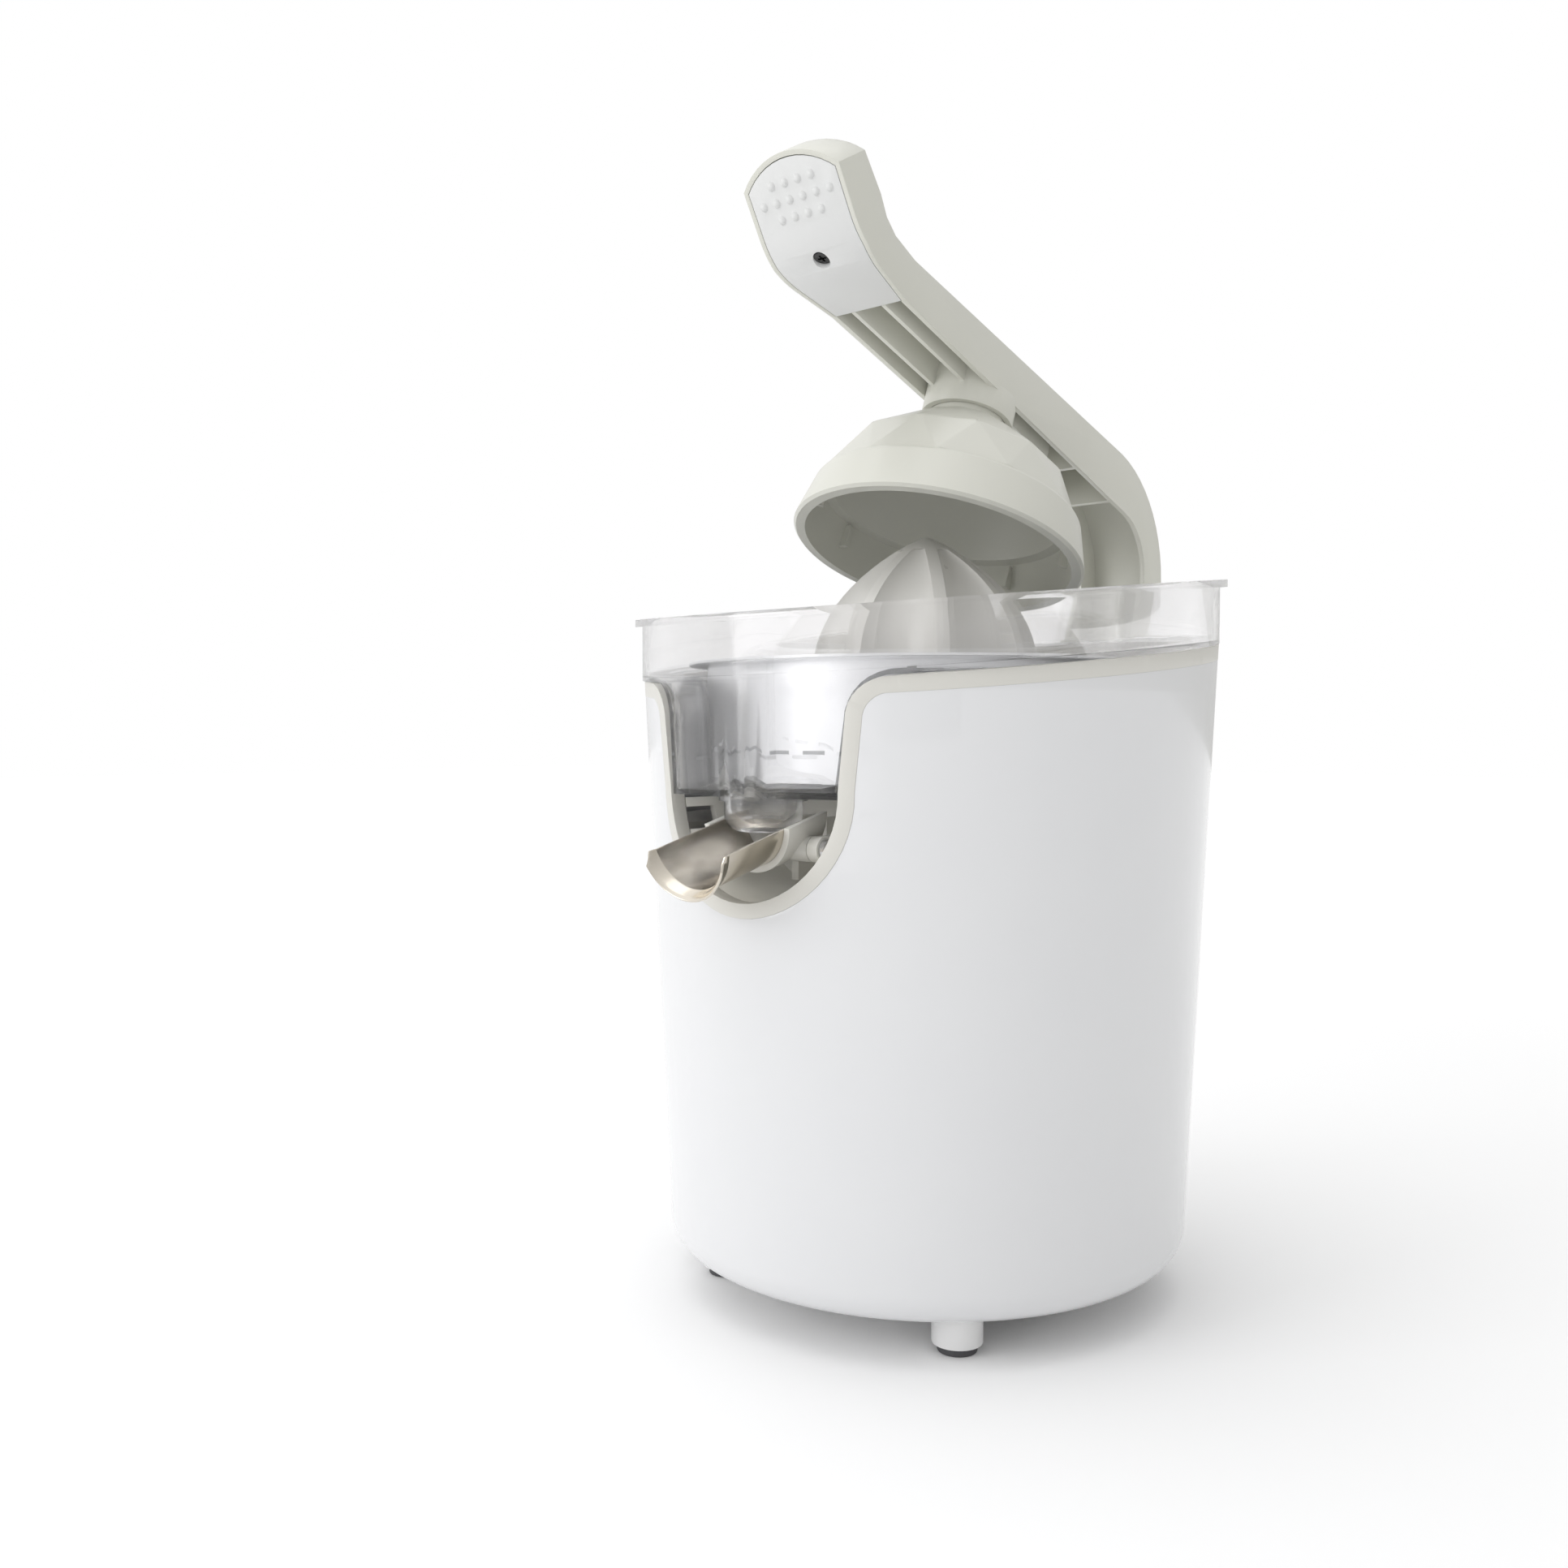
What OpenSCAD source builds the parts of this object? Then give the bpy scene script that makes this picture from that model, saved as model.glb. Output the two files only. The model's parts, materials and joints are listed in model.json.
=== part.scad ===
// Electric lever-arm citrus press with a clear juice bowl and a tilting steel spout.
// Modelled about the reamer axis, then set so that the bounding box centre is the origin.
// Millimetres, +Z up, front (spout side) towards -Y, lever hinge towards +Y.

/* [Body] */
// Radius of the body at its top edge
body_top_r = 98.6; // [92:0.5:125]
// Radius of the body at its foot
body_base_r = 89.5; // [84:0.5:110]
// Height of the top edge above the table, on the reamer axis
rim_height = 215.7; // [180:0.1:262]
// Rise of the top edge towards the back, in degrees
rim_tilt = 5.8; // [0:0.1:8]
// Wall of the outer shell
shell_wall = 2.5; // [1.8:0.1:3.5]
// Rounding round the foot of the shell
foot_corner_r = 11; // [4:0.5:14]
// Height of the coloured band round the top edge
band_h = 5; // [4:0.1:8]
// Radial depth of that band, which carries the bowl
band_t = 5.5; // [4.5:0.1:7]

/* [Feet] */
// Clear height under the shell
foot_h = 12.8; // [9:0.1:18]
// Radius of a foot stub
foot_r = 8; // [6:0.1:10]
// Distance from the axis to a foot
foot_reach = 70; // [55:0.5:74]
// Thickness of a rubber pad
pad_t = 2.8; // [2:0.1:4]
// Radius of a rubber pad
pad_r = 6.3; // [4.5:0.1:7.5]

/* [Notch] */
// Radius of the round lower end of the notch
notch_r = 35; // [30:0.5:38]
// Depth of the notch below the top edge
notch_depth = 77.2; // [70:0.1:86]
// Widening of each side from the round end to the flare
notch_lean = 2.5; // [0:0.1:4]
// Radius of the flare where the notch meets the top edge
notch_flare_r = 13; // [8:0.5:16]
// Width of the border round the notch
notch_border = 4.7; // [3:0.1:7]
// Distance from the axis to the back wall of the spout bay
bay_back = 50; // [46:0.5:54]

/* [Bowl] */
// Wall of the clear bowl
bowl_wall = 2; // [1.5:0.1:2.5]
// Outer radius of the drum part of the bowl
drum_r = 81.5; // [74:0.5:82]
// Depth of the bowl floor below the body's top edge
bowl_depth = 44.7; // [40:0.1:50]
// Height of the clear collar above the body
collar_h = 21.2; // [14:0.1:27]
// Width of the flange round the collar
flange_w = 2.4; // [1.5:0.1:4]
// Outer radius of the juice outlet cup
cup_r = 12.3; // [9:0.1:13]
// Distance from the axis to the outlet
cup_reach = 84; // [80:0.5:85]
// Height of the outlet cup
cup_h = 11; // [8:0.5:13]

/* [Strainer] */
// Radius of the steel drum
strainer_r = 76.5; // [70:0.5:77]
// Width of the strainer's flange
strainer_flange = 6.5; // [4:0.5:7]
// Thickness of the steel
sheet_t = 0.8; // [0.5:0.1:1.2]
// Depth of the strainer drum
strainer_depth = 39.5; // [32:0.5:40]
// Number of drain slots round the floor
slot_count = 36; // [18:2:48]
// Width of a drain slot
slot_w = 1.2; // [0.8:0.1:1.6]

/* [Reamer] */
// Radius of the reamer at its base
reamer_r = 40; // [34:0.5:43]
// Height of the reamer
reamer_h = 60; // [50:0.5:62]
// Number of fins
fin_count = 8; // [6:1:10]
// Thickness of a fin
fin_t = 3; // [2:0.1:4]

/* [Press dome] */
// Radius of the dome's rim
dome_r = 52; // [48:0.5:58]
// Height of the conical band of the dome
dome_band_h = 17; // [14:0.5:22]
// Inward lean of the band
dome_lean = 4.2; // [2:0.1:6]
// Radius of the round top of the dome
dome_ball_r = 49.06; // [48:0.01:53]
// Wall of the dome
dome_wall = 3; // [2.4:0.1:4]

/* [Lever] */
// Angle at which the lever stands, up from fully pressed
lever_angle = 20.1; // [0:0.1:75]
// Distance from the back of the body to the hinge
hinge_gap = 24.8; // [22:0.1:32]
// Half the width of the lever
arm_half_w = 15.6; // [14:0.1:19]
// Wall of the lever channel
arm_wall = 2; // [1.8:0.1:3]
// Depth of the lever at the hinge end
arm_depth = 20.5; // [17:0.1:24]
// Depth of the lever at the grip end
arm_tip_depth = 14.2; // [12:0.1:16]
// Height of the lever's underside over the hinge when pressed
arm_rise = 55.5; // [50:0.1:62]
// Reach of the grip in front of the reamer axis when pressed
grip_reach = 117; // [100:0.5:130]
// Half the width of the grip
grip_half_w = 19.8; // [17:0.1:23]
// Upward bend of the grip, in degrees
grip_bend = 40; // [20:1:50]
// Radius of the hinge pin
pin_r = 4; // [3:0.1:5]

/* [Spout] */
// Radius of the trough's round section
trough_r = 16; // [13:0.1:18]
// Depth of the trough
trough_depth = 12.6; // [9:0.1:13.5]
// Slope of the trough, in degrees
trough_slope = 14.6; // [8:0.1:20]
// Reach of the trough's lip in front of the reamer axis
spout_reach = 119; // [110:0.5:130]
// Radius of a spout pivot screw
spout_pin_r = 1.8; // [1.5:0.1:2.2]

/* [Drive] */
// Radius of the drive shaft
shaft_r = 4; // [3.5:0.1:5]
// Travel of the drive shaft when fruit is pressed on the reamer
press_travel = 3; // [2:0.1:4]
// Module of the output gear pair
out_module = 1.25; // [1:0.05:1.35]
// Module of the motor gear pair
in_module = 0.8; // [0.7:0.05:0.9]
// Teeth of both large gears
wheel_teeth = 60; // [48:1:62]
// Teeth of both small gears
pinion_teeth = 16; // [15:1:20]
// Half the width of the square motor core
stator_half = 32; // [28:0.5:34]
// Height of the motor core
stator_h = 32; // [24:0.5:38]

/* [Hidden] */
$fn = 96;

// Clearances
gap = 0.3;          // between curved faces of different pieces
run_fit = 0.05;     // radial clearance of a turning or sliding fit
cut = 1;            // overshoot of a cut past a face
big = 300;          // half-space size

// Body levels and walls
function body_r(z) = body_base_r + (z - foot_h) * (body_top_r - body_base_r) / (rim_height - foot_h);
rim_slope = tan(rim_tilt);
base_z = foot_h + 1.2;
base_t = 2.5;
notch_z = rim_height - notch_depth + notch_r;
bay_top = rim_height - bowl_depth - 1.5;
bay_wall = 2;

// Bowl and strainer levels
bowl_z = rim_height - bowl_depth;
cup_dish = 5.5;
ledge_z = rim_height - 7.7;
seat_r = body_r(ledge_z) - band_t - 2 * gap;
strainer_z = ledge_z + sheet_t + 5.7;
strainer_floor = strainer_z - strainer_depth;
tube_r = 10;
tube_h = 25;

// Reamer
reamer_z = strainer_floor + 24;
hub_r = 8;

// Lever, in its pressed position
hinge_y = body_top_r + hinge_gap;
hinge_z = rim_height - 0.7;
arm_low = hinge_z + arm_rise;
arm_back = hinge_y + 7.6;
arm_corner_r = 50;
arm_inner_r = 24;
eye_r = 9;
pin_boss_r = eye_r - 0.5;
tower_half = arm_half_w - arm_wall - 0.7;
tower_in = body_r(hinge_z) - 12;
tower_screw_z = [hinge_z - 42, ledge_z - 7];
dome_z = hinge_z - 4.1;
ball_h = 2.28;
neck_r = 14.2;
boss_r = 16.6;
boss_drop = 7.4;
neck_rise = 8;
dome_head_z = 53;
dome_rib_t = 1.6;
grip_straight = grip_reach - 37;
grip_curve_r = 30;
grip_head_z = 3.85;
grip_tip_r = 28.5;
tip_over = 2;
plate_t = 2.2;
roof = 2.6;
leg_in = arm_back - 15.4;

// Where the reamer axis lies, so that the box is centred
function turned(p, a) = [p[0] * cos(a) + p[1] * sin(a), -p[0] * sin(a) + p[1] * cos(a)];
corner_mid = [arm_back - arm_corner_r, arm_low + arm_depth - arm_corner_r];
rear_reach = hinge_y + turned([corner_mid[0] - hinge_y, corner_mid[1] - hinge_z], lever_angle)[0]
             + arm_corner_r;
axis_y = (spout_reach - rear_reach) / 2;

// Drive levels, hanging under the deck
deck_z = bowl_z - 13;
deck_t = 3;
box_top = deck_z - 9;
box_split = box_top - 15;
box_low = box_top - 42;
box_wall = 2.5;
out_gear_z = box_low + 12;
out_gear_h = 10;
in_gear_z = box_low + 5.5;
in_gear_h = 5.5;
spring_z = out_gear_z + out_gear_h + 0.3;
spring_h = 11.5;
washer_z = spring_z + spring_h + 0.2;
washer_t = 1.5;
clip_z = washer_z + washer_t + 0.1;
clip_t = 1;
shaft_low = box_low - 5;
shaft_top = reamer_z + 34;
pin_x = 0;
gear_y = out_module * (wheel_teeth + pinion_teeth) / 2;
motor_y = gear_y - in_module * (wheel_teeth + pinion_teeth) / 2;
out_box_r = out_module * (wheel_teeth / 2 + 1) + 1.2 + box_wall;
in_box_r = in_module * (wheel_teeth / 2 + 1) + 1.2 + box_wall;
stator_top = shaft_low - 26;
stator_low = stator_top - stator_h;
rotor_r = 21;
motor_shaft_r = 2.5;
bracket_rise = 11;
bearing_r = 8;
bearing_h = 5;
motor_low = stator_low - bracket_rise - 3;
switch_top = shaft_low - 5;
switch_h = 9.5;
out_screw = (out_box_r + 3.1) / sqrt(2);
in_screw = (in_box_r + 3.1) / sqrt(2);
screw_spots = [[-out_screw, -out_screw], [out_screw, -out_screw],
               [-in_screw, gear_y + in_screw], [in_screw, gear_y + in_screw]];
screw_head_r = 3;
boss_h = 6;

// Spout
spout_y = -80;
spout_z = rim_height - 60.5;
trough_len = (spout_reach + spout_y) / cos(trough_slope) - 1.5;
trough_rise = trough_r - 3.2;

// Cord inlet
gland_z = foot_h + 20;
gland_bore = 3.6;
gland_r = 7;
block_y = foot_reach - 11;

// Colours
white = "#f4f4f5";
warm_grey = "#d9d8d2";
arm_grey = "#cfd1ca";
steel = "#b9bcc0";
brass = "#c9a24b";
rubber = "#3a3a3c";
clear = [0.86, 0.9, 0.93, 0.4];

// ---- helpers ----

module on_axis() translate([0, axis_y, 0]) children();

function arc_pts(c, r, a0, a1, n) =
    [for (i = [0 : n]) let (a = a0 + (a1 - a0) * i / n) c + r * [cos(a), sin(a)]];

// Half-space under the sloping plane that crosses the axis at height z
module under(z)
    translate([0, 0, z]) rotate([rim_tilt, 0, 0]) translate([-big, -big, -2 * big])
        cube([2 * big, 2 * big, 2 * big]);

// Radius of the inside of the shell above its rounded foot edge
function shell_in(z) =
    let (z0 = foot_h + foot_corner_r, z1 = rim_height + 20)
    body_r(foot_h) - shell_wall + (z - z0) * (body_r(z1) - body_r(foot_h)) / (z1 - z0);

// Solid frustum with the body's taper, set in by d, from z0 to z1
module body_cone(d, z0, z1)
    translate([0, 0, z0]) cylinder(h = z1 - z0, r1 = body_r(z0) - d, r2 = body_r(z1) - d);

function rim_at(x) = rim_height - rim_slope * sqrt(pow(body_top_r, 2) - pow(x, 2));

// Outline of the notch seen from the front, grown by d
function notch_half(d) =
    let (side = notch_r + notch_lean + d, fr = notch_flare_r - d,
         top = rim_at(side + fr) - d, low = notch_z)
    concat(arc_pts([0, low], notch_r + d, -90, 0, 14),
           arc_pts([side + fr, top - fr], fr, 180, 90, 8),
           [[side + fr + 1, top], [side + fr + 1, big]]);
function mirrored(pts) = [for (i = [len(pts) - 1 : -1 : 0]) [-pts[i][0], pts[i][1]]];
function notch_outline(d) = concat(notch_half(d), mirrored(notch_half(d)));

// Notch as a solid reaching from the front to y1
module notch(d, y1)
    rotate([90, 0, 0]) translate([0, 0, -y1]) linear_extrude(height = body_top_r + 20 + y1)
        polygon(notch_outline(d));

module ring(r_out, r_in, h)
    difference() {
        cylinder(h = h, r = r_out);
        translate([0, 0, -cut]) cylinder(h = h + 2 * cut, r = r_in);
    }

module bar_x(r, x0, x1)
    translate([x0, 0, 0]) rotate([0, 90, 0]) cylinder(h = x1 - x0, r = r);

// Screw standing on z = 0 with its head above, shank below
module screw(r, length, head_r, head_h)
    difference() {
        union() {
            translate([0, 0, -length]) cylinder(h = length, r = r, $fn = 32);
            cylinder(h = head_h, r = head_r, $fn = 32);
        }
        for (a = [0, 90])
            rotate([0, 0, a]) translate([-head_r * 0.6, -0.4, head_h * 0.45])
                cube([head_r * 1.2, 0.8, head_h]);
    }

// Places children on a ring of radius r, at the listed angles from the back
module at_angles(r, angles)
    for (a = angles) rotate([0, 0, a]) translate([0, r, 0]) children();

// Involute spur gear outline
function inv_pt(rb, t) = rb * [cos(t) + t * PI / 180 * sin(t), sin(t) - t * PI / 180 * cos(t)];
function inv_angle(rb, r) = sqrt(pow(r / rb, 2) - 1) * 180 / PI;
function gear_tooth(m, n, slack) =
    let (rp = m * n / 2, rb = rp * cos(20), ra = rp + 0.95 * m, rf = rp - 1.2 * m,
         tp = inv_angle(rb, rp), ta = inv_angle(rb, ra),
         at_pitch = inv_pt(rb, tp), half = 90 / n - slack / rp * 90 / PI,
         turn = -atan2(at_pitch[1], at_pitch[0]) - half,
         r0 = max(rb, rf), t0 = r0 > rb ? inv_angle(rb, r0) : 0,
         flank = [for (i = [0 : 5]) let (t = t0 + (ta - t0) * i / 5, p = inv_pt(rb, t))
                  [norm(p), atan2(p[1], p[0]) + turn]])
    concat([[rf, flank[0][1]]], flank,
           [for (i = [5 : -1 : 0]) [flank[i][0], -flank[i][1]]], [[rf, -flank[0][1]]]);
function gear_pts(m, n, slack) =
    let (tooth = gear_tooth(m, n, slack))
    [for (k = [0 : n - 1]) for (p = tooth) p[0] * [cos(p[1] + 360 * k / n), sin(p[1] + 360 * k / n)]];
module gear(m, n, h) linear_extrude(height = h) polygon(gear_pts(m, n, 0.12));

// Round wire or tube through a list of points
function unit(v) = v / norm(v);
function tangent(p, i) = unit(p[min(i + 1, len(p) - 1)] - p[max(i - 1, 0)]);
function wire_ring(c, t, r, sides) =
    let (side = norm(cross(t, [0, 0, 1])) < 0.1 ? [1, 0, 0] : unit(cross(t, [0, 0, 1])),
         up = cross(side, t))
    [for (k = [0 : sides - 1]) c + r * (cos(360 * k / sides) * side + sin(360 * k / sides) * up)];
module wire(path, r, sides) {
    rings = [for (i = [0 : len(path) - 1]) wire_ring(path[i], tangent(path, i), r, sides)];
    points = [for (q = rings) for (p = q) p];
    last = (len(path) - 1) * sides;
    faces = concat([[for (k = [0 : sides - 1]) k]],
                   [for (i = [0 : len(path) - 2]) for (k = [0 : sides - 1])
                       let (a = i * sides + k, b = i * sides + (k + 1) % sides)
                       [b, a, a + sides, b + sides]],
                   [[for (k = [sides - 1 : -1 : 0]) last + k]]);
    polyhedron(points = points, faces = faces);
}

// ---- body ----

// White outer shell, tapered and rounded at the foot
module outer_shell() color(white) on_axis()
    difference() {
        intersection() {
            rotate_extrude($fn = 180)
                polygon(concat(
                    arc_pts([body_r(foot_h) - foot_corner_r, foot_h + foot_corner_r],
                            foot_corner_r, -90, 0, 10),
                    [[body_r(rim_height + 20), rim_height + 20],
                     [body_r(rim_height + 20) - shell_wall, rim_height + 20]],
                    arc_pts([body_r(foot_h) - foot_corner_r, foot_h + foot_corner_r],
                            foot_corner_r - shell_wall, 0, -90, 10)));
            under(rim_height - band_h);
        }
        notch(notch_border, -body_base_r / 2);
        translate([-tower_half - gap, body_base_r / 2, hinge_z - 52])
            cube([2 * (tower_half + gap), body_top_r, 56]);
        translate([0, body_base_r + 20, gland_z]) rotate([90, 0, 0])
            cylinder(h = 60, r = gland_r - 1.5);
    }

// Grey band round the top edge, with the border round the notch
module trim_frame() color(warm_grey) on_axis()
    difference() {
        intersection() {
            difference() {
                body_cone(0, bay_top - 60, rim_height + 20);
                body_cone(band_t, bay_top - 60 - cut, rim_height + 20 + cut);
            }
            under(rim_height);
            union() {
                difference() {
                    translate([-big, -big, 0]) cube([2 * big, 2 * big, 2 * big]);
                    under(rim_height - band_h + 0.02);
                }
                notch(notch_border - 0.05, -body_base_r / 2);
            }
        }
        notch(0, -body_base_r / 2);
    }

// Recess behind the notch, with pivot ears for the spout and stiffening ribs
module spout_bay() color(warm_grey) on_axis() {
    side = 17.6;
    ear_t = 4;
    difference() {
        intersection() {
            notch(bay_wall, -bay_back + bay_wall);
            body_cone(band_t + gap, bay_top - 60, rim_height);
            translate([-big, -big, 0]) cube([2 * big, 2 * big, bay_top]);
        }
        notch(0, -bay_back);
        for (x = [-1, 1])
            translate([x * (notch_r + 1) - 4, spout_y - 8, bay_top - 11]) cube([8, 17, 8]);
    }
    for (x = [-9, 3, 15])
        translate([x - 1.5, -bay_back - 9, notch_z - notch_r + 4])
            cube([3, 9 + bay_wall / 2, 21]);
    for (s = [-1, 1])
        difference() {
            union() {
                translate([s * (side + ear_t / 2) - ear_t / 2, spout_y, spout_z - 4])
                    cube([ear_t, -spout_y - bay_back + bay_wall / 2, 8]);
                translate([s * (side + ear_t / 2) - ear_t / 2, spout_y, spout_z])
                    bar_x(4, 0, ear_t);
            }
            translate([0, spout_y, spout_z]) bar_x(spout_pin_r + run_fit, -big, big);
        }
}

// White floor of the body with its four foot stubs
module base_plate() color(white) on_axis()
    difference() {
        union() {
            translate([0, 0, base_z]) cylinder(h = base_t, r = body_base_r - foot_corner_r - gap);
            at_angles(foot_reach, [45 : 90 : 315])
                translate([0, 0, pad_t]) cylinder(h = base_z + base_t - pad_t, r = foot_r);
            at_angles(foot_reach - 16, [0 : 90 : 270])
                translate([0, 0, base_z + base_t - 0.1]) cylinder(h = 10, r = 4.5);
        }
        at_angles(foot_reach - 16, [0 : 90 : 270])
            translate([0, 0, base_z - cut]) cylinder(h = 8 + cut, r = 1.6);
        for (i = [-3 : 3])
            translate([i * 8 - 1.5, -22, base_z - cut]) cube([3, 44, base_t + 2 * cut]);
    }

// Rubber pads under the feet
module foot_pads() color(rubber) on_axis()
    at_angles(foot_reach, [45 : 90 : 315]) cylinder(h = pad_t, r = pad_r);

// Screws up through the floor
module base_screws() color(steel) on_axis()
    at_angles(foot_reach - 16, [0 : 90 : 270])
        translate([0, 0, base_z - 0.02]) rotate([180, 0, 0]) screw(1.55, 7.8, 3.2, 2);

// Deck that carries the gearbox and closes the drive space under the bowl
module motor_deck() color(warm_grey) on_axis()
    difference() {
        union() {
            translate([0, 0, deck_z])
                cylinder(h = deck_t, r = shell_in(deck_z) - gap);
            translate([0, 0, deck_z]) cylinder(h = deck_t + 3, r = 14);
            at_angles(out_box_r - 1, [60, 180, 300])
                translate([0, 0, box_top]) cylinder(h = deck_z - box_top + 0.1, r = 4);
        }
        translate([0, 0, deck_z - cut]) cylinder(h = deck_t + 8, r = 9 + gap);
        translate([-notch_r - notch_lean - bay_wall - 2, -big, deck_z - cut])
            cube([2 * (notch_r + notch_lean + bay_wall + 2), big - bay_back + 3, deck_t + 2 * cut]);
        at_angles(out_box_r - 1, [60, 180, 300])
            translate([0, 0, box_top - cut]) cylinder(h = 30, r = 1.8);
    }

// Screws that hold the gearbox up to the deck
module deck_screws() color(steel) on_axis()
    at_angles(out_box_r - 1, [60, 180, 300])
        translate([0, 0, deck_z + deck_t + 0.02]) screw(1.75, deck_z + deck_t - box_top + 6, 3.4, 2.2);

// Bracket out of the back of the body that carries the lever hinge
module hinge_tower() color(arm_grey) on_axis()
    difference() {
        union() {
            rotate([90, 0, 90]) translate([0, 0, -tower_half]) linear_extrude(height = 2 * tower_half)
                polygon([[tower_in, hinge_z - 50], [body_r(hinge_z) - 2, hinge_z - 50],
                         [hinge_y + 2, hinge_z - pin_boss_r + 0.2], [hinge_y, hinge_z + 4],
                         [hinge_y - 6, hinge_z + 3], [seat_r + gap, hinge_z + 3],
                         [seat_r + gap, ledge_z - gap], [tower_in, ledge_z - gap]]);
            translate([0, hinge_y, hinge_z]) bar_x(pin_boss_r, -tower_half, tower_half);
        }
        translate([0, hinge_y, hinge_z]) bar_x(pin_r + run_fit, -big, big);
        for (z = tower_screw_z)
            translate([0, tower_in - cut, z]) rotate([-90, 0, 0]) cylinder(h = 15, r = 2);
    }

// Screws from inside the body into the bracket
module tower_screws() color(steel) on_axis()
    for (z = tower_screw_z)
        translate([0, tower_in - 0.02, z]) rotate([90, 0, 0]) screw(1.95, 13, 3.8, 2.4);

// Steel pin of the lever hinge
module hinge_pin() color(steel) on_axis()
    translate([0, hinge_y, hinge_z]) bar_x(pin_r, -arm_half_w - 1.2, arm_half_w + 1.2);

// Friction washers between the bracket and the lever's ears
module hinge_washers() color(rubber) on_axis()
    for (s = [-1, 1])
        translate([s * (tower_half + 0.35), hinge_y, hinge_z]) rotate([0, 90, 0])
            translate([0, 0, -0.25]) ring(pin_boss_r - 0.5, pin_r + run_fit, 0.5);

// Caps over the ends of the pin
module hinge_caps() color(arm_grey) on_axis()
    for (s = [-1, 1])
        translate([s * (arm_half_w + 0.2), hinge_y, hinge_z]) rotate([0, s * 90, 0])
            difference() {
                cylinder(h = 2.6, r1 = pin_r + 3, r2 = pin_r + 2.2);
                translate([0, 0, -cut]) cylinder(h = 1.05 + cut, r = pin_r + 0.02);
            }

// ---- lever ----

// Turns the lever's pieces from the pressed position to where they stand
module raised()
    translate([0, hinge_y, hinge_z]) rotate([-lever_angle, 0, 0])
        translate([0, -hinge_y, -hinge_z]) children();

function grip_start() = [-grip_straight, arm_low];
function grip_end_curve() =
    grip_start() + grip_curve_r * [-sin(grip_bend), 1 - cos(grip_bend)];
function grip_run() = (grip_reach + grip_end_curve()[0]) / cos(grip_bend);

// Side view of the lever: underside from the hinge to the grip tip, grown inwards by d
function arm_under(d) = concat(
    arc_pts([arm_back - 15.4 - arm_inner_r, arm_low - arm_inner_r], arm_inner_r + d, 0, 90, 10),
    arc_pts(grip_start() + [0, grip_curve_r], grip_curve_r - d, 270, 270 - grip_bend, 8),
    [grip_end_curve() + d * [sin(grip_bend), cos(grip_bend)]
     + (grip_run() + tip_over) * [-cos(grip_bend), sin(grip_bend)]]);
function arm_over() = let (n = [sin(grip_bend), cos(grip_bend)], t = [cos(grip_bend), -sin(grip_bend)],
                           tip = grip_end_curve() + grip_run() * [-cos(grip_bend), sin(grip_bend)])
    concat([tip + n * (arm_tip_depth - tip_over - 2.6) - t * tip_over,
            tip + n * (arm_tip_depth - 1.3) + t * 1.3, tip + n * arm_tip_depth + t * 4.5],
           [[-grip_straight - 4, arm_low + arm_tip_depth + 1.8]],
           [[-grip_straight + 3, arm_low + arm_tip_depth]],
           arc_pts(corner_mid, arm_corner_r, 90, 0, 14));

// Strip of the side view along the grip's underside, between two depths
function grip_part(d) = [for (p = arm_under(d)) if (p[0] < -grip_straight + 1) p];
function grip_strip(back, d0, d1) =
    let (low = grip_part(d0))
    concat([[-grip_straight + back, arm_low + d0], [-grip_straight + back, arm_low + d1]],
           grip_part(d1), [for (i = [len(low) - 1 : -1 : 0]) low[i]]);

module side_solid(pts, half)
    rotate([90, 0, 90]) translate([0, 0, -half]) linear_extrude(height = 2 * half) polygon(pts);

// Outline of the lever seen from above, narrower by d each side; its round end is square to the grip
module arm_plan(d) {
    w = arm_half_w - d;
    g = grip_half_w - d;
    end = grip_end_curve();
    intersection() {
        translate([0, 0, hinge_z - 30]) linear_extrude(height = 200)
            polygon([[w, hinge_y + 60], [w, -grip_straight + 17], [g, -grip_straight - 10],
                     [g, -big], [-g, -big], [-g, -grip_straight - 10], [-w, -grip_straight + 17],
                     [-w, hinge_y + 60]]);
        translate([0, end[0], end[1]]) rotate([-grip_bend, 0, 0]) translate([0, 0, -big])
            linear_extrude(height = 2 * big)
                polygon(concat([[big, big], [-big, big]],
                               arc_pts([0, grip_tip_r - grip_run()], grip_tip_r - d, 205, 335, 19)));
    }
}

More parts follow.
